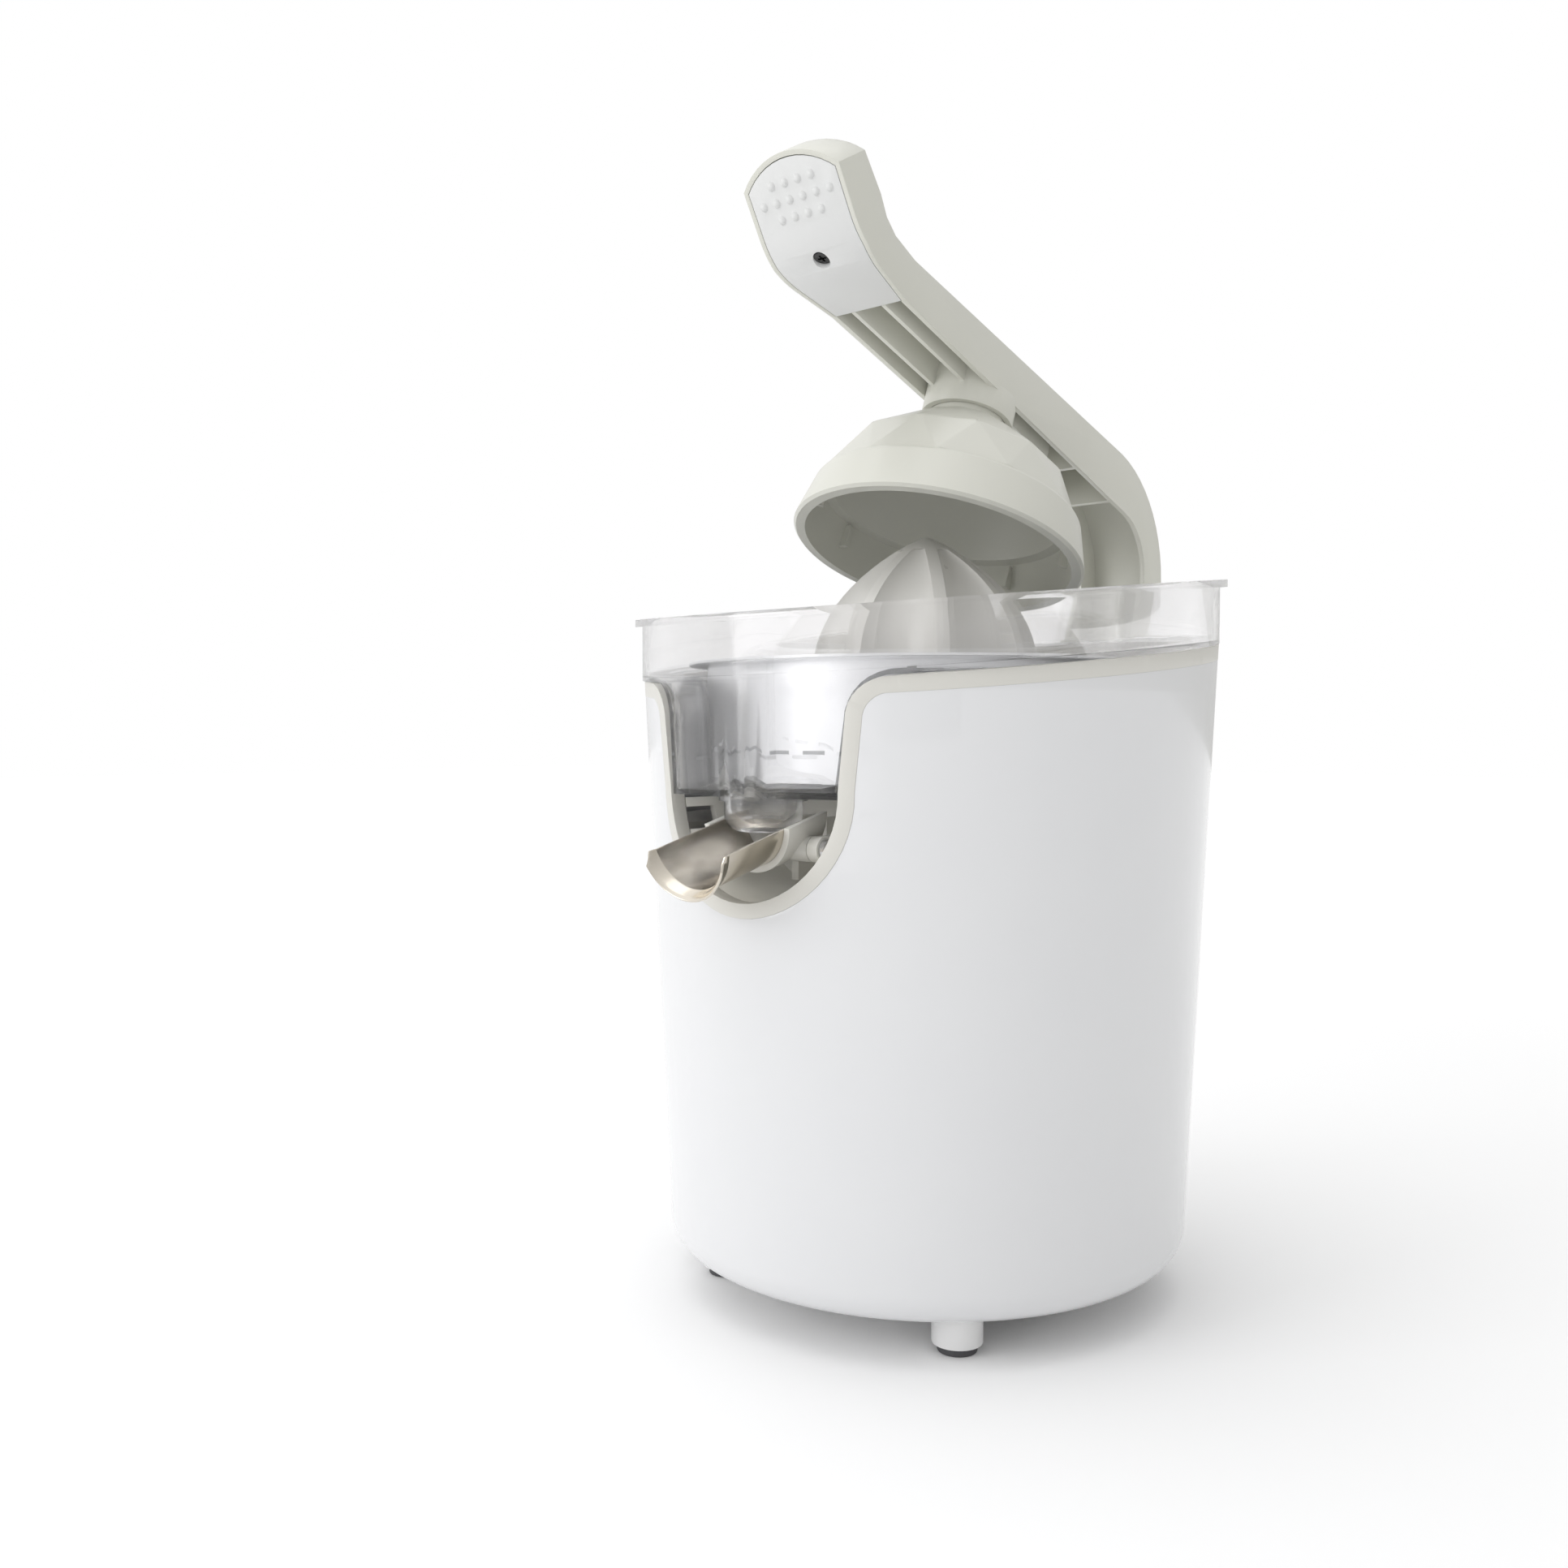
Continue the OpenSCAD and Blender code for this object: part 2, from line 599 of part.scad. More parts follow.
// Lever arm: channel with ribs, eye at the hinge, round seat for the dome, bent grip
module lever_arm() color(arm_grey) on_axis() raised() {
    difference() {
        union() {
            intersection() {
                side_solid(concat([[arm_back, hinge_z + 12], [leg_in, hinge_z + 12]],
                                  arm_under(0), arm_over()), grip_half_w + 1);
                arm_plan(0);
            }
            translate([0, hinge_y, hinge_z]) bar_x(eye_r, -arm_half_w, arm_half_w);
            side_solid([[leg_in, hinge_z + 13], [leg_in, hinge_z], [arm_back, hinge_z],
                        [arm_back, hinge_z + 13]], arm_half_w);
        }
        difference() {
            side_solid(concat([[arm_back - roof, hinge_z - 20], [leg_in - 12, hinge_z - 20],
                               [leg_in - 12, arm_low - arm_inner_r],
                               [leg_in - arm_inner_r, arm_low - 12],
                               [-grip_straight + 17, arm_low - 12],
                               [-grip_straight + 17, arm_low + arm_tip_depth - roof]],
                              arc_pts(corner_mid, arm_corner_r - roof, 90, 0, 14)),
                       arm_half_w - arm_wall);
            for (x = [-6.3, 6.3])
                translate([x - 0.8, -grip_straight, arm_low]) cube([1.6, hinge_y, arm_depth * 2]);
            for (y = [52, 80])
                translate([-arm_half_w, y, arm_low]) cube([2 * arm_half_w, 1.6, arm_depth * 2]);
            translate([0, 0, arm_low - boss_drop]) cylinder(h = 60, r = boss_r);
        }
        translate([0, 0, arm_low - boss_drop - cut])
            cylinder(h = boss_drop + neck_rise + 0.05 + cut, r = neck_r + gap);
        translate([0, 0, arm_low]) cylinder(h = neck_rise + 6, r = 1.6);
        intersection() {
            side_solid(grip_strip(17, -cut, plate_t + gap), grip_half_w + 1);
            arm_plan(1.6);
        }
        translate([-tower_half - 0.7, hinge_y - 30, hinge_z - 30])
            cube([2 * tower_half + 1.4, 60, 30 + 12]);
        translate([0, hinge_y, hinge_z]) bar_x(pin_r + run_fit, -big, big);
        translate([0, -grip_straight - 9, arm_low - cut]) cylinder(h = 9, r = 1.7);
        translate([0, -grip_straight - 9, arm_low - cut]) cylinder(h = grip_head_z + cut, r = 3);
    }
    translate([0, 0, arm_low - boss_drop]) ring(boss_r, neck_r + gap, boss_drop + 2);
}

// Pale pad let into the underside of the grip, with finger dots
module grip_plate() color(white) on_axis() raised() {
    dot_pitch = 5.45;
    row_pitch = 5.27;
    mid_row = grip_run() - 14;
    difference() {
        intersection() {
            side_solid(grip_strip(16.8, 0, plate_t), grip_half_w + 1);
            arm_plan(1.6 + gap);
        }
        translate([0, -grip_straight - 9, arm_low - cut]) cylinder(h = 9, r = 3);
    }
    for (row = [-1, 0, 1])
        for (i = [0 : (row == 0 ? 5 : 3)])
            translate([(i - (row == 0 ? 2.5 : 1.5)) * dot_pitch, grip_end_curve()[0],
                       grip_end_curve()[1]])
                rotate([-grip_bend, 0, 0]) translate([0, -mid_row - row * row_pitch, 0.6])
                    sphere(r = 1.6, $fn = 24);
}

// Screw deep in the round hole of the grip pad
module grip_screw() color(steel) on_axis() raised()
    translate([0, -grip_straight - 9, arm_low + grip_head_z - 0.01]) rotate([180, 0, 0])
        screw(1.6, 3.6, 2.7, 1.6);

// Pressing dome: conical band, round top, neck into the lever and inner ribs
module press_dome() color(arm_grey) on_axis() raised() translate([0, 0, dome_z]) {
    neck_top = arm_low - dome_z + neck_rise;
    difference() {
        union() {
            cylinder(h = dome_band_h, r1 = dome_r, r2 = dome_r - dome_lean);
            intersection() {
                translate([0, 0, ball_h]) sphere(r = dome_ball_r, $fn = 120);
                translate([0, 0, dome_band_h - cut]) cylinder(h = big, r = dome_r);
            }
            cylinder(h = neck_top, r = neck_r);
        }
        translate([0, 0, -cut])
            cylinder(h = dome_band_h + cut, r1 = dome_r - 4.2, r2 = dome_r - dome_lean - 3.2);
        intersection() {
            translate([0, 0, ball_h - 2]) sphere(r = dome_ball_r - dome_wall, $fn = 120);
            translate([0, 0, dome_band_h - cut]) cylinder(h = big, r = dome_r - dome_lean - 3.2);
        }
        cylinder(h = neck_top + cut, r = 1.7);
        cylinder(h = dome_head_z, r = 4.6);
    }
    for (a = [0 : 45 : 315])
        rotate([90, 0, a]) translate([0, 0, -dome_rib_t / 2]) linear_extrude(height = dome_rib_t)
            polygon([[dome_r - 9.2, 7], [dome_r - 3, 7], [dome_r - dome_lean - 1.8, dome_band_h],
                     [dome_r - 9.2, dome_band_h + 2]]);
}

// Screw that holds the dome up into the lever
module dome_screw() color(steel) on_axis() raised()
    translate([0, 0, dome_z + dome_head_z - 0.02]) rotate([180, 0, 0])
        screw(1.55, arm_low + neck_rise + 5 - dome_z - dome_head_z, 4, 2.4);

// ---- juicing parts ----

// Half outline of the reamer core, scaled in radius by k
function reamer_curve(k) = [for (i = [0 : 12]) let (t = i / 12)
    [max(0.02, k * reamer_r * pow(cos(90 * pow(t, 1.25)), 0.8)), reamer_z + 8 + (reamer_h - 8) * t]];

// Ribbed juicing cone
module reamer() color(warm_grey) on_axis()
    difference() {
        union() {
            rotate_extrude() polygon(concat([[0, reamer_z + 8]],
                [for (p = reamer_curve(0.82)) [p[0], p[1] - 1.2]], [[0, reamer_z + reamer_h - 1.2]]));
            translate([0, 0, reamer_z]) cylinder(h = 8.2, r1 = reamer_r + 1, r2 = reamer_r);
            for (a = [0 : 360 / fin_count : 359])
                rotate([90, 0, a]) translate([0, 0, -fin_t / 2]) linear_extrude(height = fin_t)
                    polygon(concat([[0, reamer_z + 8]], reamer_curve(1), [[0, reamer_z + reamer_h]]));
        }
        translate([0, 0, reamer_z - cut])
            difference() {
                cylinder(h = 30, r1 = reamer_r - 2, r2 = reamer_r * 0.45);
                cylinder(h = 60, r = hub_r);
            }
        translate([0, 0, reamer_z - cut])
            cylinder(h = shaft_top - reamer_z + cut + 0.3, r = shaft_r + run_fit);
    }

// Stainless drum with drain slots
module strainer() color(steel) on_axis()
    difference() {
        union() {
            translate([0, 0, strainer_floor]) cylinder(h = strainer_depth, r = strainer_r);
            translate([0, 0, strainer_z - sheet_t]) cylinder(h = sheet_t, r = strainer_r + strainer_flange);
        }
        translate([0, 0, strainer_floor + sheet_t])
            cylinder(h = strainer_depth, r = strainer_r - sheet_t);
        translate([0, 0, strainer_floor - cut]) cylinder(h = sheet_t + 2 * cut, r = tube_r + 1);
        for (row = [0, 1])
            for (a = [0 : 360 / slot_count : 359])
                rotate([0, 0, a + row * 180 / slot_count])
                    translate([22 + row * 26, -slot_w / 2, strainer_floor - cut])
                        cube([22, slot_w, sheet_t + 2 * cut]);
        for (a = [0 : 360 / slot_count : 359])
            rotate([0, 0, a]) translate([strainer_r - 3, -4, strainer_floor + 9])
                cube([6, 8, slot_w]);
    }

// Outer form of the bowl, or its hollow when t is its wall
module bowl_form(t) {
    over = body_top_r + 0.4 - t;
    intersection() {
        difference() {
            translate([0, 0, ledge_z - 20])
                cylinder(h = rim_height + 60 - ledge_z, r = over);
            under(rim_height + gap + t);
        }
        under(rim_height + collar_h + (t > 0 ? cut : 0));
    }
    intersection() {
        translate([0, 0, ledge_z + t]) cylinder(h = 60, r = seat_r - t);
        under(rim_height + 2 * gap + t + 0.5);
    }
    translate([0, 0, bowl_z + t]) cylinder(h = ledge_z - bowl_z + cut, r = drum_r - t);
    intersection() {
        notch(-0.6 - t, -drum_r + 30);
        cylinder(h = rim_height + 2, r = body_r(bowl_z) - 0.6 - t);
        translate([-big, -big, bowl_z + t]) cube([2 * big, 2 * big, 2 * big]);
        under(rim_height + 2 * gap + t + 0.5);
    }
}

// Round cup with a dished underside
module cup_form(r, h)
    rotate_extrude()
        polygon(concat([[0, 0]], arc_pts([r - cup_dish, cup_dish], cup_dish, -90, 0, 8),
                       [[r, h], [0, h]]));

// Clear bowl with collar, front pouch, centre tube and outlet cup
module juice_bowl() color(clear) on_axis()
    difference() {
        union() {
            difference() {
                union() {
                    bowl_form(0);
                    intersection() {
                        translate([0, 0, ledge_z - 20])
                            cylinder(h = 100, r = body_top_r + 0.4 + flange_w);
                        difference() {
                            under(rim_height + collar_h);
                            under(rim_height + collar_h - 2.4);
                        }
                    }
                }
                bowl_form(bowl_wall);
            }
            translate([0, 0, bowl_z]) cylinder(h = tube_h, r = tube_r - gap);
            translate([0, -cup_reach, bowl_z - cup_h]) cup_form(cup_r, cup_h + 0.5);
            translate([0, -cup_reach, bowl_z - 1.3]) cylinder(h = 1.5, r = cup_r + 1.6);
        }
        translate([0, 0, bowl_z - cut]) cylinder(h = tube_h + 2 * cut, r = tube_r - gap - bowl_wall);
        translate([0, -cup_reach, bowl_z - cup_h + bowl_wall])
            cup_form(cup_r - bowl_wall, cup_h + 4);
        translate([0, -cup_reach, bowl_z - cup_h - cut]) cylinder(h = 10, r = cup_r - 5);
    }

// ---- spout ----

// Frame along the trough: origin on the pivot, -Y down the slope
module along_trough()
    translate([0, spout_y, 0]) translate([0, 0, spout_z]) rotate([trough_slope, 0, 0]) children();

// Steel trough with a rolled lip
module spout_trough() color(steel) on_axis()
    along_trough()
        intersection() {
            difference() {
                union() {
                    translate([0, 6, trough_rise]) rotate([90, 0, 0])
                        cylinder(h = trough_len + 6, r = trough_r);
                    translate([0, -trough_len + 1.4, trough_rise]) rotate([90, 0, 0])
                        cylinder(h = 1.4, r1 = trough_r, r2 = trough_r + 1.8);
                }
                translate([0, 6 + cut, trough_rise]) rotate([90, 0, 0])
                    cylinder(h = trough_len + 10, r = trough_r - sheet_t);
            }
            translate([-30, -trough_len - 2, -10])
                cube([60, trough_len + 20, trough_depth + 10 - 3.2]);
        }

// Moulded cradle that carries the trough on its pivots
module spout_holder() color(warm_grey) on_axis()
    along_trough()
        difference() {
            union() {
                intersection() {
                    translate([0, 8, trough_rise]) rotate([90, 0, 0])
                        cylinder(h = 18, r = trough_r + 2.1);
                    translate([-30, -12, -10]) cube([60, 22, trough_depth + 7]);
                }
                for (s = [-1, 1])
                    translate([min(s * 9, s * 17.3), 0, 0]) bar_x(4, 0, 8.3);
            }
            translate([0, 20, trough_rise]) rotate([90, 0, 0])
                cylinder(h = 60, r = trough_r + 0.05);
            bar_x(spout_pin_r + run_fit, -big, big);
        }

// Pivot screws of the spout, one each side, with star recesses
module spout_screws() color(steel) on_axis()
    for (s = [-1, 1])
        translate([s * (17.6 + 4.05), spout_y, spout_z]) rotate([0, s * 90, 0])
            difference() {
                union() {
                    cylinder(h = 2, r = 3.2);
                    translate([0, 0, -10]) cylinder(h = 10.5, r = spout_pin_r);
                }
                for (a = [0 : 60 : 120])
                    rotate([0, 0, a]) translate([-1.7, -0.45, 0.8]) cube([3.4, 0.9, 2]);
            }

// ---- drive ----

// Shaft that turns the reamer and slides down when it is pressed
module drive_shaft() color(steel) on_axis()
    difference() {
        translate([0, 0, shaft_low]) cylinder(h = shaft_top - shaft_low, r = shaft_r);
        translate([-shaft_r, shaft_r - 0.8, reamer_z + 12]) cube([2 * shaft_r, 2, shaft_top]);
        translate([0, 0, clip_z - 0.1]) ring(shaft_r + 2, shaft_r - 0.6, clip_t + 0.2);
    }

// Spring clip in the shaft's groove
module shaft_circlip() color(steel) on_axis()
    translate([0, 0, clip_z])
        difference() {
            ring(shaft_r + 2.2, shaft_r - 0.55, clip_t);
            translate([-1.2, 0, -cut]) cube([2.4, 20, clip_t + 2 * cut]);
        }

// Washer between the clip and the spring
module thrust_washer() color(steel) on_axis()
    translate([0, 0, washer_z]) ring(shaft_r + 5, shaft_r + run_fit, washer_t);

// Spring that lifts the shaft again
module return_spring() color(steel) on_axis()
    wire([for (i = [0 : 84]) let (t = i / 84, a = 360 * 5.5 * t)
          [7.2 * cos(a), 7.2 * sin(a), spring_z + 0.75 + (spring_h - 1.5) * t]], 0.65, 8);

// Rubber lip seal in the deck
module shaft_seal() color(rubber) on_axis()
    translate([0, 0, deck_z])
        difference() {
            cylinder(h = deck_t + 4, r = 9);
            translate([0, 0, -cut]) cylinder(h = deck_t + 6, r = shaft_r + 0.08);
            translate([0, 0, 2]) ring(7.5, shaft_r + 1.2, 10);
        }

module upper_bush() color(brass) on_axis()
    translate([0, 0, box_top - 4]) ring(7, shaft_r + run_fit, 11);

module lower_bush() color(brass) on_axis()
    translate([0, 0, box_low - 1]) ring(7, shaft_r + run_fit, 9);

module box_plan(d, z0, h) {
    translate([0, 0, z0]) cylinder(h = h, r = out_box_r - d);
    translate([pin_x, gear_y, z0]) cylinder(h = h, r = in_box_r - d);
}

// Lower half of the gearbox
module gearbox_housing() color("#8c8f94") on_axis()
    difference() {
        union() {
            box_plan(0, box_low, box_split - box_low);
            for (p = screw_spots)
                translate([p[0], p[1], box_low]) cylinder(h = box_split - box_low, r = 4);
        }
        box_plan(box_wall, box_low + 3, 60);
        translate([0, 0, box_low - cut]) cylinder(h = 20, r = 7.01);
        translate([0, motor_y, box_low - cut]) cylinder(h = 20, r = bearing_r);
        translate([pin_x, gear_y, box_low + 1]) cylinder(h = 20, r = 3.01);
        for (p = screw_spots)
            translate([p[0], p[1], box_split - 12]) cylinder(h = 20, r = 1.5);
        for (p = motor_spots())
            translate([p[0], p[1], box_low - cut]) cylinder(h = 8, r = 1.6);
    }

// Upper half of the gearbox
module gearbox_cover() color("#9a9da2") on_axis()
    difference() {
        union() {
            box_plan(0, box_split, box_top - box_split);
            for (p = screw_spots)
                translate([p[0], p[1], box_split]) cylinder(h = boss_h, r = 4);
            translate([0, 0, box_top - 0.1]) cylinder(h = 6.5, r = 9);
        }
        box_plan(box_wall, box_split - cut, box_top - box_split + cut - 3);
        translate([0, 0, box_top - 10]) cylinder(h = 30, r = 7.01);
        translate([pin_x, gear_y, box_split - cut]) cylinder(h = 14.5, r = 3.01);
        for (p = screw_spots)
            translate([p[0], p[1], box_split - cut]) cylinder(h = 20, r = 1.7);
        for (p = screw_spots)
            translate([p[0], p[1], box_split + boss_h]) cylinder(h = 20, r = screw_head_r + gap);
        at_angles(out_box_r - 1, [60, 180, 300])
            translate([0, 0, box_top - 7]) cylinder(h = 20, r = 1.8);
    }

// Screws that close the gearbox
module gearbox_screws() color(steel) on_axis()
    for (p = screw_spots)
        translate([p[0], p[1], box_split + boss_h + 0.02]) screw(1.45, 16, screw_head_r, 2);

// Large gear on the drive shaft
module output_gear() color("#e6e2d6") on_axis()
    translate([0, 0, out_gear_z])
        difference() {
            union() {
                rotate([0, 0, 90]) gear(out_module, wheel_teeth, out_gear_h - 2);
                cylinder(h = out_gear_h, r = 9);
            }
            translate([0, 0, 2.5]) ring(out_module * wheel_teeth / 2 - 5, 12, out_gear_h);
            translate([0, 0, -cut]) cylinder(h = out_gear_h + 2 * cut, r = shaft_r + run_fit);
        }

// Two-step gear between the motor and the output gear
module compound_gear() color("#e6e2d6") on_axis()
    translate([pin_x, gear_y, 0])
        difference() {
            union() {
                translate([0, 0, in_gear_z]) rotate([0, 0, -90])
                    gear(in_module, wheel_teeth, in_gear_h);
                translate([0, 0, in_gear_z + in_gear_h - 0.1]) cylinder(h = 1.1, r = 8);
                translate([0, 0, out_gear_z - 0.2]) rotate([0, 0, 180 / pinion_teeth - 90])
                    gear(out_module, pinion_teeth, out_gear_h);
            }
            translate([0, 0, in_gear_z - cut]) cylinder(h = 40, r = 3 + run_fit);
        }
module gear_pin() color(steel) on_axis()
    translate([pin_x, gear_y, box_low + 1.1]) cylinder(h = box_split + 13 - box_low - 1.1, r = 3);

// Small gear on the motor shaft
module motor_pinion() color(brass) on_axis()
    translate([0, motor_y, in_gear_z - 1]) rotate([0, 0, 90 + 180 / pinion_teeth])
        difference() {
            gear(in_module, pinion_teeth, in_gear_h + 1);
            translate([0, 0, -cut]) cylinder(h = 20, r = motor_shaft_r);
        }

module motor_shaft() color(steel) on_axis()
    translate([0, motor_y, motor_low - 4])
        cylinder(h = in_gear_z + in_gear_h - motor_low + 4, r = motor_shaft_r);

module rotor_core() color("#7d8086") on_axis()
    translate([0, motor_y, stator_low + 1]) ring(rotor_r, motor_shaft_r, stator_h - 2);

// Laminated motor core with a round bore
module motor_stator() color("#74777c") on_axis()
    translate([0, motor_y, stator_low])
        difference() {
            translate([-stator_half, -stator_half, 0]) cube([2 * stator_half, 2 * stator_half, stator_h]);
            translate([0, 0, -cut]) cylinder(h = stator_h + 2 * cut, r = rotor_r + 0.6);
            for (s = [-1, 1])
                translate([s * (rotor_r + 3.5) - 2.5, -14, -cut]) cube([5, 28, stator_h + 2 * cut]);
            for (p = motor_spots())
                translate([p[0], p[1] - motor_y, -cut]) cylinder(h = stator_h + 2 * cut, r = 1.9);
        }
function motor_spots() = [for (x = [-1, 1]) for (y = [-1, 1])
    [x * (stator_half - 5), motor_y + y * (stator_half - 5)]];

// Copper windings above and below the core
module motor_coils() color("#b8743a") on_axis()
    translate([0, motor_y, 0])
        for (z = [stator_low - 6.1, stator_top + 0.1])
            for (s = [-1, 1])
                translate([s * (rotor_r + 2.5), 0, z])
                    difference() {
                        translate([-4, -14, 0]) cube([8, 28, 6]);
                        translate([-1.5, -10, -cut]) cube([3, 20, 8]);
                    }

// Bridges that hold the motor bearings
module motor_brackets() color("#a8abb0") on_axis()
    translate([0, motor_y, 0])
        for (top = [0, 1])
            translate([0, 0, top ? stator_top : stator_low]) rotate([top ? 0 : 180, 0, 0])
                difference() {
                    union() {
                        translate([-7, -stator_half + 1, bracket_rise - 3])
                            cube([14, 2 * stator_half - 2, 3]);
                        for (s = [-1, 1])
                            translate([-7, s * (stator_half - 2.5) - 1.5, 0.02])
                                cube([14, 3, bracket_rise - 1]);
                        translate([0, 0, bracket_rise - 4]) cylinder(h = 7, r = bearing_r + 2);
                    }
                    translate([0, 0, bracket_rise - 4 - cut]) cylinder(h = 20, r = bearing_r);
                }

module motor_bearings() color(brass) on_axis()
    translate([0, motor_y, 0])
        for (z = [stator_top + bracket_rise - 3, stator_low - bracket_rise - 2])
            translate([0, 0, z]) ring(bearing_r - 0.01, motor_shaft_r + run_fit, bearing_h);

// Long screws and their spacers between the motor and the gearbox
module motor_screws() color(steel) on_axis()
    for (p = motor_spots()) {
        translate([p[0], p[1], stator_low - 2.5]) cylinder(h = 2.5, r = 3.2, $fn = 6);
        translate([p[0], p[1], stator_low - 0.1]) cylinder(h = box_low - stator_low + 4, r = 1.55);
        translate([p[0], p[1], stator_top + 0.02]) cylinder(h = box_low - stator_top - 0.04, r = 3.2);
    }

// Switch that starts the motor when the shaft is pressed down
module switch_body() color("#2f3134") on_axis()
    difference() {
        union() {
            translate([-10, -5, switch_top - switch_h]) cube([20, 9.6, switch_h]);
            for (s = [-1, 1])
                translate([s * 13 - 3, -5, switch_top - switch_h]) cube([6, 9.6, 3]);
            for (s = [-1, 1])
                translate([s * 13.5 - 2.5, -4, switch_top - switch_h])
                    cube([5, 7, box_low - switch_top + switch_h - 0.02]);
        }
        translate([-2.5 - run_fit, -1.5 - run_fit, switch_top - 7])
            cube([5 + 2 * run_fit, 3 + 2 * run_fit, 10]);
    }

module switch_button() color("#c23b2e") on_axis()
    translate([-2.5, -1.5, switch_top - 2]) cube([5, 3, shaft_low - switch_top + 1.8]);

// ---- supply ----

// Grommet that the mains lead would enter through
module cord_gland() color(rubber) on_axis() {
    inner = body_r(gland_z) - shell_in(gland_z - gland_r - 0.5) + 2 * gap;
    translate([0, body_r(gland_z), gland_z]) rotate([90, 0, 0])
        difference() {
            union() {
                translate([0, 0, -1.2]) cylinder(h = 1.2 - 0.2, r = gland_r + 1.5);
                translate([0, 0, -1.2]) cylinder(h = 8, r = gland_r - 1.5 - 0.1);
                translate([0, 0, inner]) cylinder(h = 2, r = gland_r + 0.5);
            }
            translate([0, 0, -10]) cylinder(h = 30, r = gland_bore);
        }
}

// Screw terminals for the supply
module terminal_block() color("#e8e6df") on_axis()
    translate([-15, block_y, base_z + base_t + 0.05])
        difference() {
            cube([30, 12, 12]);
            for (x = [5, 15, 25]) translate([x, 6, 5]) cylinder(h = 10, r = 2);
            for (x = [5, 15, 25]) translate([x, -cut, 4]) rotate([-90, 0, 0]) cylinder(h = 20, r = 1.4);
        }

// Leads from the terminals to the windings
module motor_leads() color(rubber) on_axis()
    for (s = [-1, 1])
        wire([[s * 10, block_y - 0.5, base_z + base_t + 4.05], [s * 10, block_y - 4, base_z + base_t + 4.2],
              [s * 12, block_y - 8, base_z + base_t + 7], [s * 15, 50, base_z + base_t + 13],
              [s * 18, 47, stator_low - 10], [s * 22, 40, stator_low - 8.5],
              [s * (rotor_r + 2.5), motor_y + 13, stator_low - 8]], 1.1, 8);

outer_shell();
trim_frame();
spout_bay();
base_plate();
foot_pads();
base_screws();
motor_deck();
deck_screws();
hinge_tower();
tower_screws();
hinge_pin();
hinge_washers();
hinge_caps();
lever_arm();
grip_plate();
grip_screw();
press_dome();
dome_screw();
reamer();
strainer();
juice_bowl();
spout_trough();
spout_holder();
spout_screws();
drive_shaft();
shaft_circlip();
thrust_washer();
return_spring();
shaft_seal();
upper_bush();
lower_bush();
gearbox_housing();
gearbox_cover();
gearbox_screws();
output_gear();
compound_gear();
gear_pin();
motor_pinion();
motor_shaft();
rotor_core();
motor_stator();
motor_coils();
motor_brackets();
motor_bearings();
motor_screws();
switch_body();
switch_button();
cord_gland();
terminal_block();
motor_leads();
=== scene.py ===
import json
import math
import bpy
from mathutils import Matrix, Vector


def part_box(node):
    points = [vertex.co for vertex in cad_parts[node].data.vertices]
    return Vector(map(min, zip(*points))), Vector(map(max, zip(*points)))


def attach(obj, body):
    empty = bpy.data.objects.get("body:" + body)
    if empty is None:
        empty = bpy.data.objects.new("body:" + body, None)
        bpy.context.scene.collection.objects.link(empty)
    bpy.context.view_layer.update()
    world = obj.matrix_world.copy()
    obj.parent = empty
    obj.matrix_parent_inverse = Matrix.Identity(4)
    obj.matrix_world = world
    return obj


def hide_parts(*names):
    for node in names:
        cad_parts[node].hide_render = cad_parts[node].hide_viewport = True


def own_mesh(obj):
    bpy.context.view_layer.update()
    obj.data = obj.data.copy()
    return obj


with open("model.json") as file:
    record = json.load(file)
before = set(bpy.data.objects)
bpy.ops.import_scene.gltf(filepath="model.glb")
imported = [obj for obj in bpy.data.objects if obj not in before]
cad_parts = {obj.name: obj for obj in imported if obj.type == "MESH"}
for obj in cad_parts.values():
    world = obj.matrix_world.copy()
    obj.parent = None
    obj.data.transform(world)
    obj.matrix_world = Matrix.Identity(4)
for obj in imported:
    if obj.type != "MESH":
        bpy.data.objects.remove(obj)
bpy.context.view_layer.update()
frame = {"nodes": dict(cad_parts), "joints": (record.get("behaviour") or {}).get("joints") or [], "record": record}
mm = 0.001

# reamer axis, hinge and spout pivot, from the frame itself
reamerLow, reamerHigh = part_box("reamer")
axisY = (reamerLow.y + reamerHigh.y) / 2
joints = {joint["name"]: joint for joint in frame["joints"]}
hingePoint = Vector(joints["lever_hinge"]["pos_m"])
spoutPoint = Vector(joints["spout_tilt"]["pos_m"])
leverAngle = math.radians(20.1)  # how far the lever stands above level at rest
print("frame loaded, reamer axis at y =", round(axisY, 5))

# camera, lights and sky, and the size of the floor

studio = {
    "cameraPlace": (0.31044, -0.43234, 0.19113),
    "cameraTurn": (87.952, 0.0, 41.893),
    "lens": 33.93, "sensor": 36, "nearest": 0.01,
    "floorSize": 12.0,
    "skyShadeSide": (0.45, 0.25, -0.85),  # the side that the sky darkens towards
    "skySpan": (-0.95, 0.55),
    "sky": [(0.0, (1.22, 1.22, 1.22)), (0.30, (0.86, 0.86, 0.86)), (0.62, (0.64, 0.64, 0.64)),
            (1.0, (0.47, 0.46, 0.41))],
    "lamps": [
        {"name": "keyLamp", "place": (-0.75, -1.7, 0.75), "size": 1.0, "power": 8.0},
        {"name": "topLamp", "place": (-0.1, -0.2, 1.7), "size": 1.2, "power": 3.0},
    ],
    "lampAim": 0.15,  # height that the lamps point at
    "floorFade": (0.40, 1.1),
}


